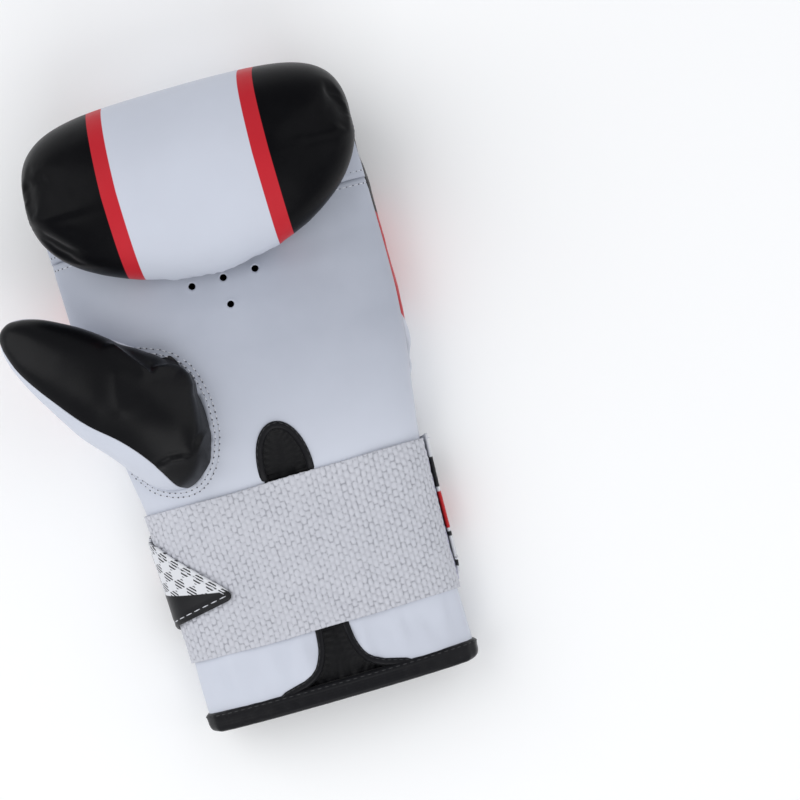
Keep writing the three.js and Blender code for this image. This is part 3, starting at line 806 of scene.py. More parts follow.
def on_pattern(p):
    """The place on the palm's pattern of a point on the palm side."""
    y = (p.y - HEM) / MM
    half, seam, top, _ = section(round(y, 2))
    wanted = Vector((p.x / MM / half, (p.z / MM - seam) / (top - seam) * 0.4))
    gaps = [(Vector((across, rise * 0.4)) - wanted).length for across, rise in PALM]
    return PALM_ARC * gaps.index(min(gaps)) / (len(PALM) - 1), y


def eased(outline, rounds):
    """A closed outline with its corners rounded off."""
    for _ in range(rounds):
        before, after = outline[-1:] + outline[:-1], outline[1:] + outline[:1]
        threes = zip(before, outline, after)
        outline = [tuple((a[k] + 2 * b[k] + c[k]) / 4 for k in (0, 1)) for a, b, c in threes]
    return outline


SHARES = [i / 24 for i in range(24)]
face_roots, white_roots = ({a: leaves_palm(turn(a)) for a in SHARES} for turn in (face_turn, white_turn))
thumb_loop = []
for turn, roots in ((face_turn, face_roots), (white_turn, white_roots)):
    thumb_loop += [on_pattern(thumb_skin(roots[a], turn(a)(roots[a]))) for a in SHARES]
sewn_loop = eased(thumb_loop, 5)

# %% [markdown]
# ## The palm leather
#
# One panel covers the palm, with a hole for the thumb, a slit over the wrist that lets the hand
# in, and four punched vents. The leather lies close to the form, but not dead flat: it dips a
# little between the seams, is drawn up by the thread round the thumb, and creases under the roll.

# %% The slit's outline on the pattern
SLIT = [(0, 33), (6.1, 27), (9.9, 14.4), (15.3, 8.4), (23.8, 5.4), (32.7, 4.7), (59.4, 6.8)]
SLIT += [(84.2, 8.6), (99, 9)]  # distance from the hem, half width
SLIT_MIDDLE, SLIT_TOP = 3, 18  # place across, and length of the round end


def slit_outline(foot=-6.0, steps=44, turns=14):
    """From under the hem up one side of the slit, round its end and down the other side."""
    straight, end = SLIT[-1]
    right = [(SLIT[0][1], foot)]
    right += [(along(SLIT, straight * i / steps, 1), straight * i / steps) for i in range(steps + 1)]
    for i in range(1, turns + 1):
        turn = math.pi / 2 * i / turns
        right.append((end * math.cos(turn), straight + SLIT_TOP * math.sin(turn)))
    left = [(-x, y) for x, y in reversed(right[:-1])]
    return [(across_palm(SLIT_MIDDLE + x, max(y, 0)), y) for x, y in right + left]


SLIT_LINE = slit_outline()
VENTS = [(-13.6, 183), (0, 183), (13.6, 183), (0, 171.5)]
vent_spots = [(across_palm(x, y), y) for x, y in VENTS]

# %% Cut the palm and lay it on the form
PALM_END = 208.0
SEAM_ROWS = (205.4, 210.8)  # the two rows of stitches beside the seam, one on each leather
VENT_RADIUS = 1.45
PALM_EDGE = 1.6  # where the leather starts, inside the hem's binding
palm_bm = pattern((0, PALM_ARC), (PALM_EDGE, PALM_END), 1.7)
cut(palm_bm, beyond(thumb_loop, -0.4))
cut(palm_bm, beyond(SLIT_LINE, 0.6))


def vent_distance(x, y):
    return min(math.hypot(x - a, y - b) for a, b in vent_spots) - VENT_RADIUS


for vent in vent_spots:  # finer cells round each vent, for a round hole
    close = [e for e in palm_bm.edges if (e.verts[0].co - Vector((*vent, 0))).length < 4.2]
    bmesh.ops.subdivide_edges(palm_bm, edges=close, cuts=2, use_grid_fill=True)
cut(palm_bm, vent_distance)


def palm_relief(s, y):
    """Millimetres that the palm leather stands off the form."""
    p = palm_mm(s, y)
    d, walked = nearest(sewn_loop, s, y)
    rim = hump(d, 1.2, 1.1) * 0.5
    sewn = -hump(d, 3.1, 1.3) * (0.28 + 0.12 * math.sin(walked * 2.1))
    drawn = math.exp(-d / 7) * 0.3 * math.sin(walked * 0.55 + ripple(p, 20) * 2)
    seam = -hump(y, SEAM_ROWS[0], 1.0) * 0.35 - hump(y, PALM_END, 0.8) * 0.5
    soft = ripple(p, 34, 3) * 1.0 + ripple(p, 15, 8) * 0.35
    level = Vector((p.x * 0.5, p.y * 1.6, 0))
    under_roll = hump(y, 178, 16) * ripple(level, 16, 5) * 0.7
    edge = min(1, min(s, PALM_ARC - s) / 12)
    slit = nearest(SLIT_LINE, s, y)[0]
    calm = min(1, d / 3) * min(1, slit / 5)
    upright = Vector((p.x, p.y * 0.3, p.z))
    wrinkles = ripple(upright, 8, 12) * 2.0 + ripple(upright, 4, 5) * 0.6
    gathered = hump(y, 21, 9) * wrinkles
    punched = hump(vent_distance(s, y), 0.6, 0.6) * 0.2
    return rim + sewn + drawn + seam + punched + (soft + under_roll + gathered) * edge * calm


def palm_shape(s, y, proud=0.0):
    return palm_mm(s, y, palm_relief(s, y) + proud)


laid(
    "palm_leather", palm_bm, palm_shape, palm_white, "white_leather", "palm_panel",
    1.4, lining_cloth, within=(0, 150, 20),
)

# %% [markdown]
# ## The finger panel
#
# Past a double-stitched seam the leather runs on under the knuckle roll, turns back at the fold
# and ends along the roll's free edge. Only its corners show. It is laid on the form up to the
# fold, and then follows a half circle round it, so it needs no cutting.


# %% Lay the finger panel
TURN, RUN_BACK = 6, 35.2  # length of the half circle at the fold, and of the leather back from it
TURN_RADIUS = 1.7


def under_roll_point(s, v, proud=0.0):
    """A point of the finger panel at s across and v from the hem, measured along the leather."""
    u = s / PALM_ARC
    if v <= FOLD:
        p = palm(u, v)
        crease = hump(v, SEAM_ROWS[1], 1.0) * 0.35 + hump(v, PALM_END, 0.8) * 0.5
        p.z += (ripple(p, 18, 4) * 0.9 - crease) * MM * min(1, (FOLD - v) / 5 + 0.2)
        return p + Vector((0, 0, proud * MM))
    x, turned = read(PALM, u)[0], (v - FOLD) / TURN
    if turned <= 1:
        bend = turned * math.pi
        z = FOLD_Z - TURN_RADIUS * (math.cos(bend) + 1 - turned)
        return place(x * (67.7 - 2 * turned), FOLD + TURN_RADIUS * math.sin(bend), z)
    share = min((v - FOLD - TURN) / RUN_BACK, 1) * 0.985
    half = 64.3 * (1 - share**1.7) ** (1 / 1.7) - 2.4
    return place(x * half - 2, FOLD - 4 - share * 32.5, 43.7)


finger_bm = pattern((0, PALM_ARC), (PALM_END, FOLD + TURN + RUN_BACK), 2.0)
laid(
    "finger_leather", finger_bm, under_roll_point, palm_white, "white_leather", "finger_panel",
    1.4, lining_cloth, within=None,
)

# %% [markdown]
# ## The padded back and the knuckle roll
#
# One foam-filled shell covers the back of the hand, turns round the knuckles and comes back over
# the palm as a roll. Sewn foam is fat between its seams and thin at them, and its skin puckers
# where the thread gathers it. A sheet with the right profile gives the form, and a cloth
# simulation with a little air in it does the swelling, with every seam held still.


# %% The profile of the pad, from its wrist edge to the roll's free edge
PAD_START, PAD_END = 104.0, FOLD + 270  # past the fold, stations are degrees round the roll
BAND_END = 117  # up to here the pad is a flat band
ROLL_HALF, ROLL_RADIUS, FOLD_RADIUS = 68, 38, 4  # half width of the roll, and its outer and inner radius
EDGE_Z = 46  # height of the roll's free edge
FOAM = [(PAD_START, 2.6), (BAND_END, 2.6), (131, 11.2), (162, 16)]
FLANK = [(118, 0), (146, 3.2), (205, 3.2), (FOLD + 12, 0)]  # bulge of the side away from the thumb


def pad_station(v):
    """Edge and middle as (y, z), half width, power, flat share, foam and lean at a station."""
    if v <= FOLD:
        half, seam, _, bottom = section(v)
        on_band = 1 - clamp((v - BAND_END) / 11)
        low = max(bottom - on_band * 2.9, 0)
        return (v, seam - 0.15), (v, low), half, 3.4, 0.34, along(FOAM, v, 1), 0.0
    degrees = -90 + (v - FOLD)
    past = max(degrees - 90, 0) / 90
    angle, roundness = math.radians(degrees), 2 / (2.2 if degrees < 90 else 2.3)
    ahead, above = (math.copysign(abs(f(angle)) ** roundness, f(angle)) for f in (math.cos, math.sin))
    if degrees <= 90:
        middle = (FOLD + ROLL_RADIUS * ahead, ROLL_RADIUS * (1 + above))
        edge = (FOLD + FOLD_RADIUS * math.cos(angle), FOLD_Z + FOLD_RADIUS * math.sin(angle))
    else:
        middle = (FOLD + (ROLL_RADIUS + 1.5) * ahead, EDGE_Z + 30 * above)
        edge = (FOLD - FOLD_RADIUS * past, EDGE_Z)
    under = max(-degrees, 0) / 90
    bow = 3.8 - 0.4 * under
    half, power = ROLL_HALF * (1 - 0.055 * past), bow + (1.7 - bow) * math.sqrt(past)
    return edge, middle, half, power, 0.34 * under**2, 16 - 7 * past, 2 * past


def half_oval_point(power, flat, u):
    """One point of a half oval, with u from -1 to 1 taken as an angle."""
    angle = math.pi * (1 - u) / 2
    reach = abs(math.cos(angle)) ** (2 / power)
    blend_in = min(1, reach * 3)
    x = math.copysign(flat * blend_in + (1 - flat) * reach, u)
    return x, max(math.sin(angle), 0) ** (2 / power)


def spread(u):
    """Shares the columns of the pad out evenly: fewer at the shoulders, more in the middle."""
    return math.copysign(abs(u) ** 1.28, u)


def pad_point(u, v, inner=False):
    edge, middle, half, power, flat, foam, lean = pad_station(v)
    if inner:
        depth = math.hypot(middle[0] - edge[0], middle[1] - edge[1])
        keep = max(1 - foam / max(depth, 0.1), 0.05)
        middle = tuple(e + (m - e) * keep for e, m in zip(edge, middle))
        half -= 2.6 if v < BAND_END else 3
    x, rise = half_oval_point(power, flat, spread(u))
    if not inner and x > 0:
        half += along(FLANK, v, 1) * math.sqrt(math.sin(math.pi * min(rise, 1)))
    y, z = (e + (m - e) * rise for e, m in zip(edge, middle))
    return place(x * half - lean, y, z)


# %% Model the pad as one closed skin
pad_stations = [PAD_START + 3 * i for i in range(5)]
pad_stations += [118.5 + (FOLD - 118.5) * i / 36 for i in range(37)]
pad_stations += [FOLD + 270 * i / 84 for i in range(1, 85)]
COLUMNS, ROWS = 76, len(pad_stations) - 1
pad_bm = bmesh.new()
sides = []
for inner in (False, True):
    made = bmesh.ops.create_grid(pad_bm, x_segments=COLUMNS, y_segments=ROWS, size=0.5)["verts"]
    for v in made:
        v.co = pad_point(2 * v.co.x, pad_stations[round((v.co.y + 0.5) * ROWS)], inner)
    sides.append(made)
rims = [[e for e in pad_bm.edges if e.is_boundary and e.verts[0] in set(made)] for made in sides]
bmesh.ops.bridge_loops(pad_bm, edges=rims[0] + rims[1])
bmesh.ops.recalc_face_normals(pad_bm, faces=pad_bm.faces)
outer_count = len(sides[0])
padded_back = finish_piece("padded_back", pad_bm, pad_leather, "pad_leather", "back_pad")
padded_back.data.materials.append(lining_cloth)


# %% [markdown]
# Cloth does the padding. Air pressure pushes the skin out, a skin that is cut slightly too large
# wrinkles where it is gathered, and the seams and the lining are pinned. How far a point may move
# is capped, so the pad keeps its size, and nothing may go below the table.


# %% Swell a padded piece with a cloth simulation
SWELL_FRAMES = 20
FREE_HALF = 75  # half the length of the roll's free edge
WHITE_FIELD = (-30, 27)  # where the white of the print lies across
FREE_STEP = 0.72  # millimetres that a degree of the roll is long near its free edge


def swell(obj, held, pressure, slack, cap):
    """Inflates a closed mesh whose held points stay, and bakes the result into it."""
    rest = [v.co.copy() for v in obj.data.vertices]
    group = obj.vertex_groups.new(name="held")
    group.add([i for i in range(len(rest)) if held(i)], 1.0, "REPLACE")
    air = obj.modifiers.new("air", "CLOTH")
    cloth = air.settings
    cloth.use_pressure, cloth.uniform_pressure_force = True, pressure
    cloth.effector_weights.gravity, cloth.vertex_group_mass = 0, "held"
    cloth.shrink_min, cloth.quality = -slack, 6
    air.collision_settings.use_collision = False
    for frame_number in range(1, SWELL_FRAMES + 1):
        scene.frame_set(frame_number)
    swollen = obj.evaluated_get(bpy.context.evaluated_depsgraph_get()).to_mesh()
    moved = []
    for v, start, done in zip(obj.data.vertices, rest, swollen.vertices):
        shift = done.co - start
        if shift.length > cap * MM:
            shift = shift.normalized() * cap * MM
        v.co = start + shift
        moved.append(shift.length / MM)
    obj.modifiers.remove(air)
    obj.vertex_groups.remove(group)
    scene.frame_set(1)
    print(obj.name, "swelled by up to", round(max(moved), 2), "mm")


def free_reach(index):
    """Millimetres from a point of the pad to its free edge, and along that edge."""
    row, column = divmod(index % outer_count, COLUMNS + 1)
    return (PAD_END - pad_stations[row]) * FREE_STEP, (2 * column / COLUMNS - 1) * FREE_HALF


def seam_reach(index):
    """Millimetres from a point of the outer skin to the pad's nearest sewn edge and to its wrist
    edge, and how far along the sewn edge it lies."""
    v, (free, run) = pad_stations[index // (COLUMNS + 1)], free_reach(index)
    side = (1 - abs(spread(run / FREE_HALF))) * ROLL_HALF
    down = (v - PAD_START) if v <= FOLD else 200.0
    return min(side, free), down, (v if side < free else run)


def held_still(index):
    """True for the lining, the flat band and the points at a seam."""
    if index >= outer_count:
        return True
    near, down, _ = seam_reach(index)
    return min(near / 1.5, (down - 16) / 2) < 1


def by_colour(v, elsewhere):
    """1 in the white field of the print, and another value in the colours beside it."""
    return 1.0 if WHITE_FIELD[0] < v.co.x / MM < WHITE_FIELD[1] else elsewhere


swell(padded_back, held_still, pressure=3.0, slack=0.035, cap=1.7)

# %% Puckers along the sewn edges, and the band pressed flat at the wrist
seams = padded_back.data.attributes.new("seam", "FLOAT", "POINT")
padded_back.data.update()
normals = [v.normal.copy() for v in padded_back.data.vertices]
for i in range(outer_count):
    v = padded_back.data.vertices[i]
    near, down, phase = seam_reach(i)
    white_part = by_colour(v, 0.55)
    pucker = math.exp(-near / 4.5) * math.sin(phase * 1.15 + ripple(v.co, 11) * 3.5) * 0.75 * white_part
    fold = math.exp(-near / 9) * ripple(v.co, 9, 2) * 0.9 * white_part
    stitched = -hump(down, 16.5, 2.4) * 0.9
    ease = min(near / 3, 1)
    broad = ripple(v.co, 38, 6) * 0.55 * ease if down > 20 else ripple(v.co, 16, 9) * 0.2
    v.co += normals[i] * ((pucker * min(near / 1.2, 1) + fold * ease + stitched + broad) * MM)
    seams.data[i].value = math.exp(-near / 1.3)
for i, v in enumerate(padded_back.data.vertices):  # the free edge is gathered, most in the white
    free, run = free_reach(i)
    if free < 16:
        white_part = by_colour(v, 0.3)
        crumple = flat_ripple(run, 0, 7.5, 3) * 1.7 + flat_ripple(run, 0, 3.4, 5) * 0.8
        crumple += hump(run, 1.5, 1.3) * 1.6 - hump(run, -1.6, 1.5) * 1.2
        scallop = math.sin(run * 1.75) * 0.3 * (1.3 - white_part)
        v.co.y += (crumple * white_part + scallop) * math.exp(-free / 4.5) * MM
        v.co.z += flat_ripple(run, free, 6.5, 11) * 1.2 * white_part * math.exp(-free / 6) * MM
    v.co.z = max(v.co.z, 0.0)
for face in padded_back.data.polygons:
    face.material_index = 1 if min(face.vertices) >= outer_count else 0
soften(padded_back)

# %% [markdown]
# ## The thumb
#
# The thumb has a black face towards the fist and a white, lightly padded back. The face is a
# strip of leather that is pulled round the root, so it folds there: long folds come off the upper
# seam and shorter ones off the lower. A fold is a ridge beside a valley, so each is a line with a
# profile across it, added along the surface's own normal.

# %% Folds in the black face
FOLDS = [
    ([(-53, 170), (-48, 164), (-43, 157.5), (-37.6, 150.8)], 3.0, 1.9),
    ([(-38.5, 150.5), (-36, 154), (-32, 153.5), (-27.5, 151), (-24.5, 146), (-22.5, 140)], 2.4, 1.6),
    ([(-38, 163.5), (-34, 160), (-29, 155), (-26.5, 151)], 1.8, 1.1),
    ([(-48, 114.4), (-41, 116.4), (-35.5, 116), (-31.5, 115)], 2.0, 1.1),
    ([(-30, 115.6), (-28.5, 119), (-26, 122), (-22.5, 124)], 1.6, 0.8),
    ([(-51, 159), (-54, 147), (-55, 137)], 6.0, 0.4),
    ([(-31, 104), (-27.5, 110), (-26.5, 117)], 2.4, 0.5),
]


def folds(p):
    """Height of the folds in millimetres: each is steep above its crest and gentle below it."""
    x, y, total = p.x / MM, (p.y - HEM) / MM, 0.0
    for line, width, height in FOLDS:
        d, walked = nearest(line, x, y, closed=False)
        if d > width * 3:
            continue
        length = sum(math.dist(a, b) for a, b in zip(line, line[1:]))
        fade = clamp(min(walked, length - walked) / 4)
        above = y > along(sorted(line), x, 1)
        crest = math.exp(-((d / (width * (0.32 if above else 1.0))) ** 1.5))
        valley = hump(d, width * 0.9, width * 0.5) * 0.3 if above else 0.0
        total += (crest - valley) * height * fade
    return total


# %% The face and the back of the thumb
ROOT_SINK, ROOT_DEPTH = 0.35, 1.2  # stations below the palm's surface, and millimetres pressed in


def sheath(name, turn, material, slot, node, columns, rows, relief):
    """One side of the thumb as a sheet from under the palm to the tip."""
    bm = bmesh.new()
    bmesh.ops.create_grid(bm, x_segments=columns, y_segments=rows, size=0.5)
    flat = bm.loops.layers.uv.new("pattern")
    for face in bm.faces:
        for loop in face.loops:
            loop[flat].uv = (loop.vert.co.x * 0.06, loop.vert.co.y * 0.09)
    roots, hidden = {}, {}
    for v in bm.verts:
        a, b = round(v.co.x + 0.5, 5), v.co.y + 0.5
        if a not in roots:
            roots[a] = leaves_palm(turn(a)) - ROOT_SINK
        t = roots[a] + (TIP - roots[a]) * (1 - (1 - b) ** 1.25)
        v.co = thumb_skin(max(t, 0.0), turn(a)(max(t, 0.0)))
        hidden[v] = clamp((roots[a] + ROOT_SINK - t) / ROOT_SINK)
    face_out(bm, place(-60, 140, 47))
    bm.normal_update()
    shifts = {v: relief(v.co) * (1 - hidden[v]) - ROOT_DEPTH * hidden[v] for v in bm.verts}
    for v, shift in shifts.items():
        v.co += v.normal * shift * MM
    return wall(finish_piece(name, bm, material, slot, node), 1.5)


def face_relief(p):
    return folds(p) + ripple(p, 14, 2) * 0.35 + ripple(p, 30, 7) * 0.5


def back_relief(p):
    return ripple(p, 20, 5) * 0.5 + ripple(p, 8, 1) * 0.15


sheath("thumb_face_leather", face_turn, black_leather, "black_leather", "thumb_face", 150, 170, face_relief)
thumb_back = sheath(
    "thumb_back_leather", white_turn, thumb_white, "white_leather", "thumb_back", 70, 90, back_relief
)
soften(thumb_back)

# %% [markdown]
# ## The cuff and its bindings
#
# Under the wrist the cuff is a single sheet of white leather. The raw edges of the leather are
# closed with black tape: a folded strip round the hem and another up and round the slit. Behind
# the slit a gathered black gusset keeps the opening closed. Tape has a round fold and flat sides,
# so each strip is a flattened ring that is carried along the edge.

# %% The cuff leather on the back of the wrist
TUCK = 2.9  # how far its upper end is tucked under the pad
cuff_bm = pattern((0, WRIST_BACK), (PALM_EDGE, 116), 2.2)


def cuff_shape(s, y):
    u, tucked = s / WRIST_BACK, clamp((y - 101) / 3)
    return back(u, y, ripple(back(u, y), 22, 3) * 0.5 * (1 - tucked) - tucked * TUCK)


laid("cuff_leather", cuff_bm, cuff_shape, white_leather, "white_leather", "cuff_back", 1.6, lining_cloth)


# %% A section carried along an edge
def carried(name, stations, section_points, shape, node, closed=False):
    """Carries a strip of tape along stations: shape(station, across, out) gives each point."""
    bm = bmesh.new()
    flat = bm.loops.layers.uv.new("pattern")
    ring = bmesh.ops.create_circle(bm, cap_ends=False, segments=len(section_points), radius=1)["verts"]
    bm.verts.ensure_lookup_table()
    walked = {}
    for n, station in enumerate(stations):
        if n:
            edges = [e for e in bm.edges if e.verts[0] in ring and e.verts[1] in ring]
            made = bmesh.ops.extrude_edge_only(bm, edges=edges)["geom"]
            fresh = {v for v in made if isinstance(v, bmesh.types.BMVert)}
            ring = [next(e.other_vert(v) for e in v.link_edges if e.other_vert(v) in fresh) for v in ring]
        for v, (a, b) in zip(ring, section_points):
            v.co = shape(station, a, b)
            walked[v] = (station, a + b)
    ends = [e for e in bm.edges if e.is_boundary]
    if closed:
        bmesh.ops.bridge_loops(bm, edges=ends)
    else:
        bmesh.ops.holes_fill(bm, edges=ends, sides=0)
    for face in bm.faces:
        for loop in face.loops:
            loop[flat].uv = tuple(c * MM for c in walked[loop.vert])
    bmesh.ops.recalc_face_normals(bm, faces=bm.faces)
    return finish_piece(name, bm, tape_satin, "black_fabric", node)


def tape_section(low, high, inner, outer, turns=5):
    """A rounded strip, as (along the leather, out of it) points."""
    points, r = [], min((outer - inner) / 2, (high - low) / 2) * 0.75
    corners = [(high - r, outer - r), (low + r, outer - r), (low + r, inner + r), (high - r, inner + r)]
    for start, (a, b) in zip((0, 90, 180, 270), corners):
        for i in range(turns + 1):
            turn = math.radians(start + 90 * i / turns)
            points.append((a + r * math.cos(turn), b + r * math.sin(turn)))
    even = []
    for (a, b), (c, d) in zip(points, points[1:] + points[:1]):
        steps = max(round(math.hypot(c - a, d - b) / 0.8), 1)
        even += [(a + (c - a) * k / steps, b + (d - b) * k / steps) for k in range(steps)]
    return even


# %% Hem binding
AROUND = WRIST_PALM + WRIST_BACK
hem_stations = [-WRIST_BACK + AROUND * i / 260 for i in range(260)]


def hem_shape(q, y, out):
    p = wrist(q, 8)
    pinch = math.sin(q * 0.9 + ripple(p, 15) * 2) * 0.12 + ripple(p, 9, 4) * 0.18
    lip = 1 + 0.25 * hump(y, 7.4, 1.2) * (1 if out > 0 else 0)
    corner = 1 - math.sqrt(1 - (max(4.5 - y, 0) / 4.6) ** 2)
    at_side = max(0.0, abs(p.x) / MM / 58 - 0.93) / 0.07
    return wrist(q, max(y, 0.0), out * lip + (pinch if out > -1 else 0.0) - corner * 3.2 * min(at_side, 1))


hem_section = tape_section(0.0, 8.5, -3.4, 1.35)
hem_tape = carried("hem_tape", hem_stations, hem_section, hem_shape, "hem_binding", closed=True)

# %% Slit binding
slit_walk = []
for (ax, ay), (bx, by) in zip(SLIT_LINE[1:], SLIT_LINE[2:]):
    steps = max(int(math.hypot(bx - ax, by - ay) / 1.2), 1)
    slit_walk += [(ax + (bx - ax) * k / steps, ay + (by - ay) * k / steps) for k in range(steps)]
slit_walk = [p for p in slit_walk if p[1] >= 3.0]


def outward(i):
    """The direction away from the slit at a place on its edge."""
    (ax, ay), (bx, by) = slit_walk[max(i - 2, 0)], slit_walk[min(i + 2, len(slit_walk) - 1)]
    size = max(math.hypot(bx - ax, by - ay), 1e-6)
    return (by - ay) / size, -(bx - ax) / size


def slit_shape(i, w, out):
    x, y = slit_walk[i]
    nx, ny = outward(i)
    wave = ripple(palm_mm(x, y), 7, 3) * 0.16 if out > 0 else 0
    under = clamp(min(y - 28, 100 - y) / 3)  # pressed flat where the elastic crosses it
    return palm_mm(x + nx * w, y + ny * w, (out + wave) * (1 - under * (0.9 if out > 0 else 0)))


slit_section = tape_section(-0.4, 3.0, -2.3, 1.0, 3)
slit_tape = carried("slit_tape", range(len(slit_walk)), slit_section, slit_shape, "slit_binding")

# %% [markdown]
# The gusset is cloth that is cut wider than the slit and gathered into it, so it stands in small
# pleats that fan in from the edge and fade towards the middle. The pleats are counted along the
# slit's edge, and each point takes the height of the pleat on the nearest bit of edge.

# %% Gathered gusset
slit_across = [p[0] for p in SLIT_LINE]
gusset_bm = pattern((min(slit_across) - 7, max(slit_across) + 7), (2.0, 122.5), 0.85)
cut(gusset_bm, lambda x, y: -beyond(SLIT_LINE, 5.5)(x, y))


def gusset_shape(s, y):
    d, walked = nearest(SLIT_LINE, s, y)
    d = d if inside(SLIT_LINE, s, y) else 0.0
    pleat = (abs(math.sin(walked * 1.15 + flat_ripple(s, y, 12) * 2)) - 0.5) * math.exp(-d / 4.2)
    middle = 1 - math.exp(-d / 5)
    long = math.sin((s + flat_ripple(s, y, 25, 2) * 6) * 0.9) * middle * 0.45
    return palm_mm(s, y, -3.1 + pleat * 0.75 + long - 1.4 * middle)


lay(gusset_bm, gusset_shape)
face_out(gusset_bm, place(0, 60, 17))
cloth_area = sum(f.calc_area() for f in gusset_bm.faces)
gusset = finish_piece("gathered_gusset", gusset_bm, gusset_satin, "black_fabric", "slit_gusset")
wall(gusset, 0.6)

# %% [markdown]
# ## The elastic, the loop tape and the patch
#
# The elastic is wide webbing, knitted in rows of fat stitches that sit like scales. Bump alone
# looks flat at a low angle, so the stitches are real: a fine grid is pushed out into upright
# stitches, and every other column of them is half a stitch higher. The knit wanders a little, and
# its UV map wanders with it. The grid has a point every half millimetre or so, which is as coarse
# as the stitch allows.

# %% Knitted elastic round the wrist
STRAP_LOW, STRAP_HIGH = 31.0, 96.0
strap_start = -WRIST_BACK * share_at(BACK, -14 / 58.6)
strap_bm = pattern((strap_start, WRIST_PALM - 0.5), (STRAP_LOW, STRAP_HIGH), 0.54)


def knit_place(q, y):
    """Where a point of the elastic lies in its knit, which is never quite even."""
    across, down = (
        flat_ripple(q, y, 13, seed) * 0.6 + flat_ripple(q, y, 4.2, seed + 6) * 0.16 for seed in (3, 5)
    )
    return q + across, y + down


def stitch_height(q, y):
    """Height of the knit from 0 to 1."""
    across, down = knit_place(q, y)
    turns, rows = math.pi * across / KNIT_ACROSS, math.pi * down / KNIT_DOWN
    column = math.sin(turns)
    fat = abs(column * (math.sin(rows) if column > 0 else math.cos(rows))) ** 0.5
    fat *= 0.85 + 0.4 * flat_ripple(q, y, 5, 4)
    border = min(min(y - STRAP_LOW, STRAP_HIGH - y) / 1.6, 1)
    return fat * border + (1 - border) * (0.45 + 0.3 * math.sin(q * 2.92))


def strap_shape(q, y):
    p = wrist(q, y)
    slack = ripple(p, 40, 2) * 0.55 + ripple(p, 14, 6) * 0.2
    edge = min(1, (WRIST_PALM - q) / 3)
    wavy = y + ripple(Vector((q * MM, 0, 0)), 30, 1) * 0.5
    return wrist(q, wavy, 0.95 + stitch_height(q, y) * 0.95 + slack * edge * 0.8)


laid("elastic_strap", strap_bm, strap_shape, elastic, "webbing", "wrist_strap", 1.0, drawn=knit_place)

# %% Loop tape on the back of the wrist
tape_bm = pattern((-WRIST_BACK + 0.5, strap_start - 0.5), (34, 91), 0.9)


def pile_shape(q, y):
    return wrist(q, y, 1.75 + ripple(wrist(q, y), 2.2) * 0.3)


laid("loop_tape_pile", tape_bm, pile_shape, loop_pile, "loop_pile", "loop_tape", 1.3)


# %% The patch, cut from one sheet
def around(x, y, over_palm):
    """Millimetres round the wrist of a place x across, on the palm side or on the back."""
    table, length = (PALM, WRIST_PALM) if over_palm else (BACK, -WRIST_BACK)
    return length * share_at(table, max(min(x / section(y)[0], 1), -1))


PATCH_TIP = [(-56, 82.5), (-35, 60), (-33, 57.6), (-31.9, 55.6), (-32.2, 53.8), (-33.8, 52.9), (-56, 48)]
PATCH_BACK = [(-57, 45), (-52.2, 34.9), (-40, 31.6), (-26, 31), (20, 31.6), (55.7, 32.3), (58.5, 44)]
PATCH_BACK += [(62, 63.5), (66, 92), (66, 97.6), (46.4, 96), (0, 96.8), (-29, 97.3), (-45, 93.5)]
PATCH_BACK += [(-54.5, 89.5)]
patch_line = [(around(x, y, True), y) for x, y in PATCH_TIP]
patch_line += [(around(x, y, False), y) for x, y in PATCH_BACK] + [(0.0, 85.5)]
FREE_END = 22  # length of the patch's end that lifts off
patch_bm = pattern((-WRIST_BACK, 52), (29, 99), 1.0)
cut(patch_bm, lambda x, y: -beyond(patch_line, 0.0)(x, y))


def patch_shape(q, y):
    d = nearest(patch_line, q, y)[0]
    p = wrist(q, y)
    pressed = -0.35 * hump(d, 2.3, 0.8)
    drop = -0.5 * math.exp(-d / 0.7)
    free = max(0.0, (FREE_END - q - WRIST_BACK) / FREE_END) * 0.24
    return wrist(q, y, 3.7 + pressed + drop + ripple(p, 26, 4) * 0.35 + free)


patch = laid("wrist_patch", patch_bm, patch_shape, patch_print, "printed_patch", "strap_patch", 1.3)

# %% [markdown]
# ## Stitches
#
# Thread shows as short raised dashes, each going down into the leather through a needle hole. A
# dash is a small stretched sphere, and a hole is a smaller dark one at each end, which paints the
# shade inside the hole. There are many hundreds, so both have only a few faces. They are set out
# by walking along a line on the form with an even step, which keeps the rows parallel and the
# stitches the same length.


# %% Walk along a line with an even step
def walk(points, step, start=0.0):
    """(point, direction) at even steps along a line of vectors."""
    out, walked, goal = [], 0.0, start
    for a, b in zip(points, points[1:]):
        length = (b - a).length
        while length and walked + length >= goal:
            out.append((a.lerp(b, (goal - walked) / length), (b - a) / length))
            goal += step
        walked += length
    return out


def beads(bm, spots, length, radius, flat=0.6):
    """Adds one small stretched sphere at each (point, direction, normal)."""
    for p, ahead, out in spots:
        side = out.cross(ahead).normalized()
        up = ahead.cross(side).normalized()
        turn = Matrix((ahead, side, up)).transposed().to_4x4()
        size = Matrix.Diagonal((length / 2 * MM, radius * MM, radius * flat * MM, 1))
        where = Matrix.Translation(p) @ turn @ size
        bmesh.ops.create_uvsphere(bm, u_segments=6, v_segments=5, radius=1, matrix=where)


def normal_of(shape, s, y):
    a, b = shape(s + 0.3, y) - shape(s - 0.3, y), shape(s, y + 0.3) - shape(s, y - 0.3)
    return a.cross(b).normalized()


def sewn_run(shape, line, pitch, start=0.0):
    """(point, direction, normal) along a line on a laid sheet, in the sheet's own millimetres."""
    flat = [Vector((x, y, 0)) for x, y in line]
    spots = []
    for p, ahead in walk(flat, pitch, start):
        here, there = shape(p.x, p.y), shape(p.x + ahead.x * 0.4, p.y + ahead.y * 0.4)
        spots.append((here, (there - here).normalized(), normal_of(shape, p.x, p.y)))
    return spots


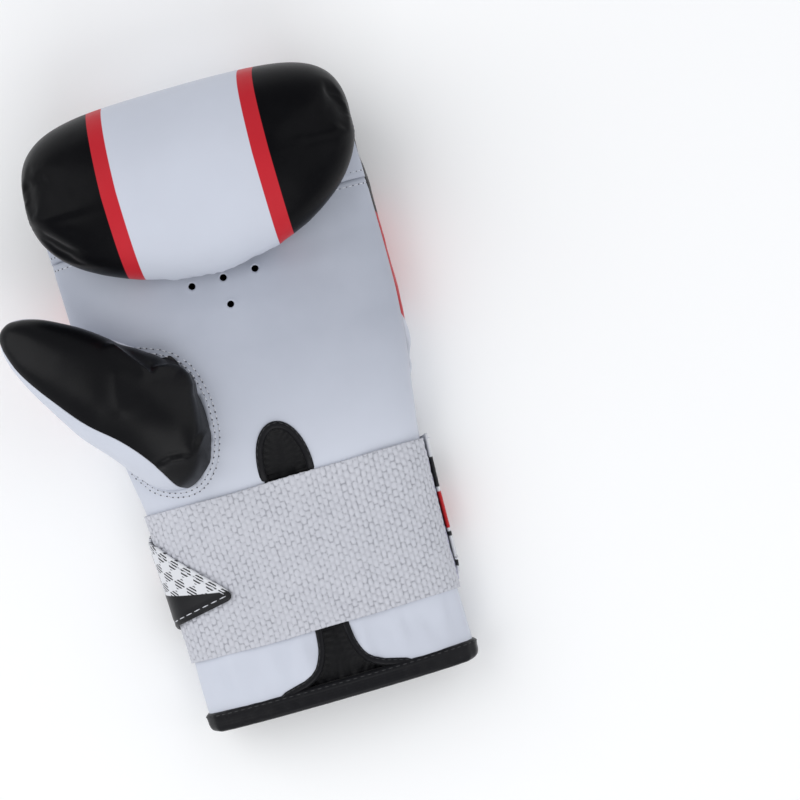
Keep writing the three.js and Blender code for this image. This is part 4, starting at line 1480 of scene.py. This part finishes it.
def grown(outline, margin):
    """A closed outline moved outwards by margin, point by point."""
    out, before, after = [], outline[-1:] + outline[:-1], outline[1:] + outline[:1]
    area = sum(a[0] * b[1] - b[0] * a[1] for a, b in zip(outline, after))
    for (ax, ay), (x, y), (bx, by) in zip(before, outline, after):
        size = math.copysign(max(math.hypot(bx - ax, by - ay), 1e-6), area)
        out.append((x + (by - ay) / size * margin, y - (bx - ax) / size * margin))
    return out + out[:1]


# %% Rows of stitches on the palm
PROUD = 0.05  # how far the middle of a thread stands off the leather
SIDE_GAP = 2.5


def thread_on(shape):
    return lambda s, y: shape(s, y, PROUD)


palm_runs = []
for margin, start in ((2.1, 0.0), (4.0, 1.35)):
    palm_runs.append((palm_shape, grown(sewn_loop, margin), 2.7, start))
for shape, row in zip((palm_shape, under_roll_point), SEAM_ROWS):
    line = [(SIDE_GAP + (PALM_ARC - 2 * SIDE_GAP) * i / 60, row) for i in range(61)]
    palm_runs.append((shape, line, 3.2, row % 1))
thread_bm, hole_bm = bmesh.new(), bmesh.new()
for shape, line, pitch, start in palm_runs:
    spots = sewn_run(thread_on(shape), line, pitch, start)
    beads(thread_bm, spots, pitch * 0.66, 0.27)
    beads(hole_bm, [(p + a * pitch * 0.38 * MM, a, n) for p, a, n in spots], 0.85, 0.33, 0.5)

# %% Two rows across the flat band of the padded back
def band_run(v, pitch, start):
    """(point, direction, normal) across the flat band of the pad."""
    line = [pad_point(-0.985 + 1.97 * i / 160, v) for i in range(161)]
    spots = []
    for p, ahead in walk(line, pitch * MM, start * MM):
        from_middle = p - place(0, v, 20)
        out = from_middle - ahead * from_middle.dot(ahead)
        out.y = 0
        spots.append((p, ahead, out.normalized()))
    return spots


def settle(spots, obj, proud):
    """Moves spots onto the finished surface of a piece or a little off it, with its normal there."""
    body = obj.evaluated_get(bpy.context.evaluated_depsgraph_get())
    done = []
    for p, ahead, out in spots:
        hit, where, normal, _ = body.closest_point_on_mesh(p)
        if hit:
            normal = normal if normal.dot(out) > 0 else -normal
            along_it = (ahead - normal * ahead.dot(normal)).normalized()
            done.append((where + normal * proud * MM, along_it, normal))
    return done


for v, start in ((118.6, 0.0), (122.8, 1.6)):
    spots = settle(band_run(v, 4.2, start), padded_back, PROUD)
    beads(thread_bm, spots, 3.0, 0.3)
    beads(hole_bm, [(p + a * 1.75 * MM, a, n) for p, a, n in spots], 0.95, 0.36, 0.5)
finish_piece("leather_stitches", thread_bm, white_thread, "white_leather")
# The dark beads paint the shade in the needle holes.
finish_piece("needle_holes", hole_bm, needle_hole_shade, "black_fabric")

# %% White stitches along the patch, and black ones along the bindings
patch_thread = bmesh.new()
spots = sewn_run(patch_shape, grown(patch_line, -2.3), 4.1)
beads(patch_thread, settle(spots, patch, 0.08), 3.5, 0.24)
finish_piece("patch_stitches", patch_thread, white_thread, "webbing")

dark_bm = bmesh.new()
hem_line = [(-WRIST_BACK + AROUND * i / 200, 7.2) for i in range(200)]
spots = sewn_run(lambda q, y: wrist(q, y, 1.8), hem_line, 3.0)
beads(dark_bm, settle(spots, hem_tape, PROUD), 2.1, 0.24)
slit_run = [(x + outward(i)[0] * 2.2, y + outward(i)[1] * 2.2) for i, (x, y) in enumerate(slit_walk)]
spots = settle(sewn_run(lambda s, y: palm_mm(s, y, 1.2), slit_run, 2.8), slit_tape, PROUD)
beads(dark_bm, [t for t in spots if not 26 < (t[0].y - HEM) / MM < 101], 2.0, 0.22)  # none under the elastic
finish_piece("binding_stitches", dark_bm, black_thread, "black_fabric")

# %% [markdown]
# ## Floor, light and camera
#
# The picture is a plain product shot: pale ground, soft light from above, and a camera that looks
# straight down on the glove, which lies turned a little to the left.

# %% Floor
FLOOR_Z = -0.0004  # a hair under the glove
ground = Finish("pale floor")
spot, *_ = ground.place()
tone = ground.blend(ground.mottle(spot, 3.0), (0.965, 0.965, 0.965), (0.975, 0.975, 0.975))
floor_paint = ground.surface(base_color=tone, roughness=0.9)
floor_bm = bmesh.new()
bmesh.ops.create_grid(floor_bm, x_segments=4, y_segments=4, size=3)
floor_mesh = bpy.data.meshes.new("floor")
floor_bm.to_mesh(floor_mesh)
floor_bm.free()
floor_mesh.materials.append(floor_paint)
floor = bpy.data.objects.new("floor", floor_mesh)
floor_mesh.transform(Matrix.Translation((0, 0, FLOOR_Z)))
scene.collection.objects.link(floor)

# %% Light
GLOVE_MIDDLE = Vector((0, 0, 0.03))
world = bpy.data.worlds.new("studio")
scene.world = world
world.use_nodes = True
sky = world.node_tree.nodes["Background"].inputs
sky["Color"].default_value, sky["Strength"].default_value = (0.92, 0.95, 1.0, 1), 0.43
scene.view_settings.view_transform = "Standard"


def soft_box(name, where, size, watts):
    """A square lamp that looks at the glove."""
    lamp = bpy.data.lights.new(name, "AREA")
    lamp.shape, lamp.size, lamp.energy = "SQUARE", size, watts
    obj = bpy.data.objects.new(name, lamp)
    obj.location = where
    obj.rotation_euler = (GLOVE_MIDDLE - Vector(where)).to_track_quat("-Z", "Y").to_euler()
    scene.collection.objects.link(obj)


soft_box("key", (-1.1, 0.5, 1.1), 1.9, 16)
soft_box("fill", (1.3, 0.1, 1.0), 2.0, 9)
soft_box("front", (0.0, -1.4, 1.1), 1.6, 13)

# %% Camera
lens = bpy.data.cameras.new("camera")
lens.sensor_width, lens.lens = 36, 120
lens.clip_start, lens.clip_end = 0.05, 20
camera = bpy.data.objects.new("camera", lens)
camera.location = (0.0565, -0.0581, 1.150)
camera.rotation_euler = (0, 0, math.radians(-16))
scene.collection.objects.link(camera)
scene.camera = camera
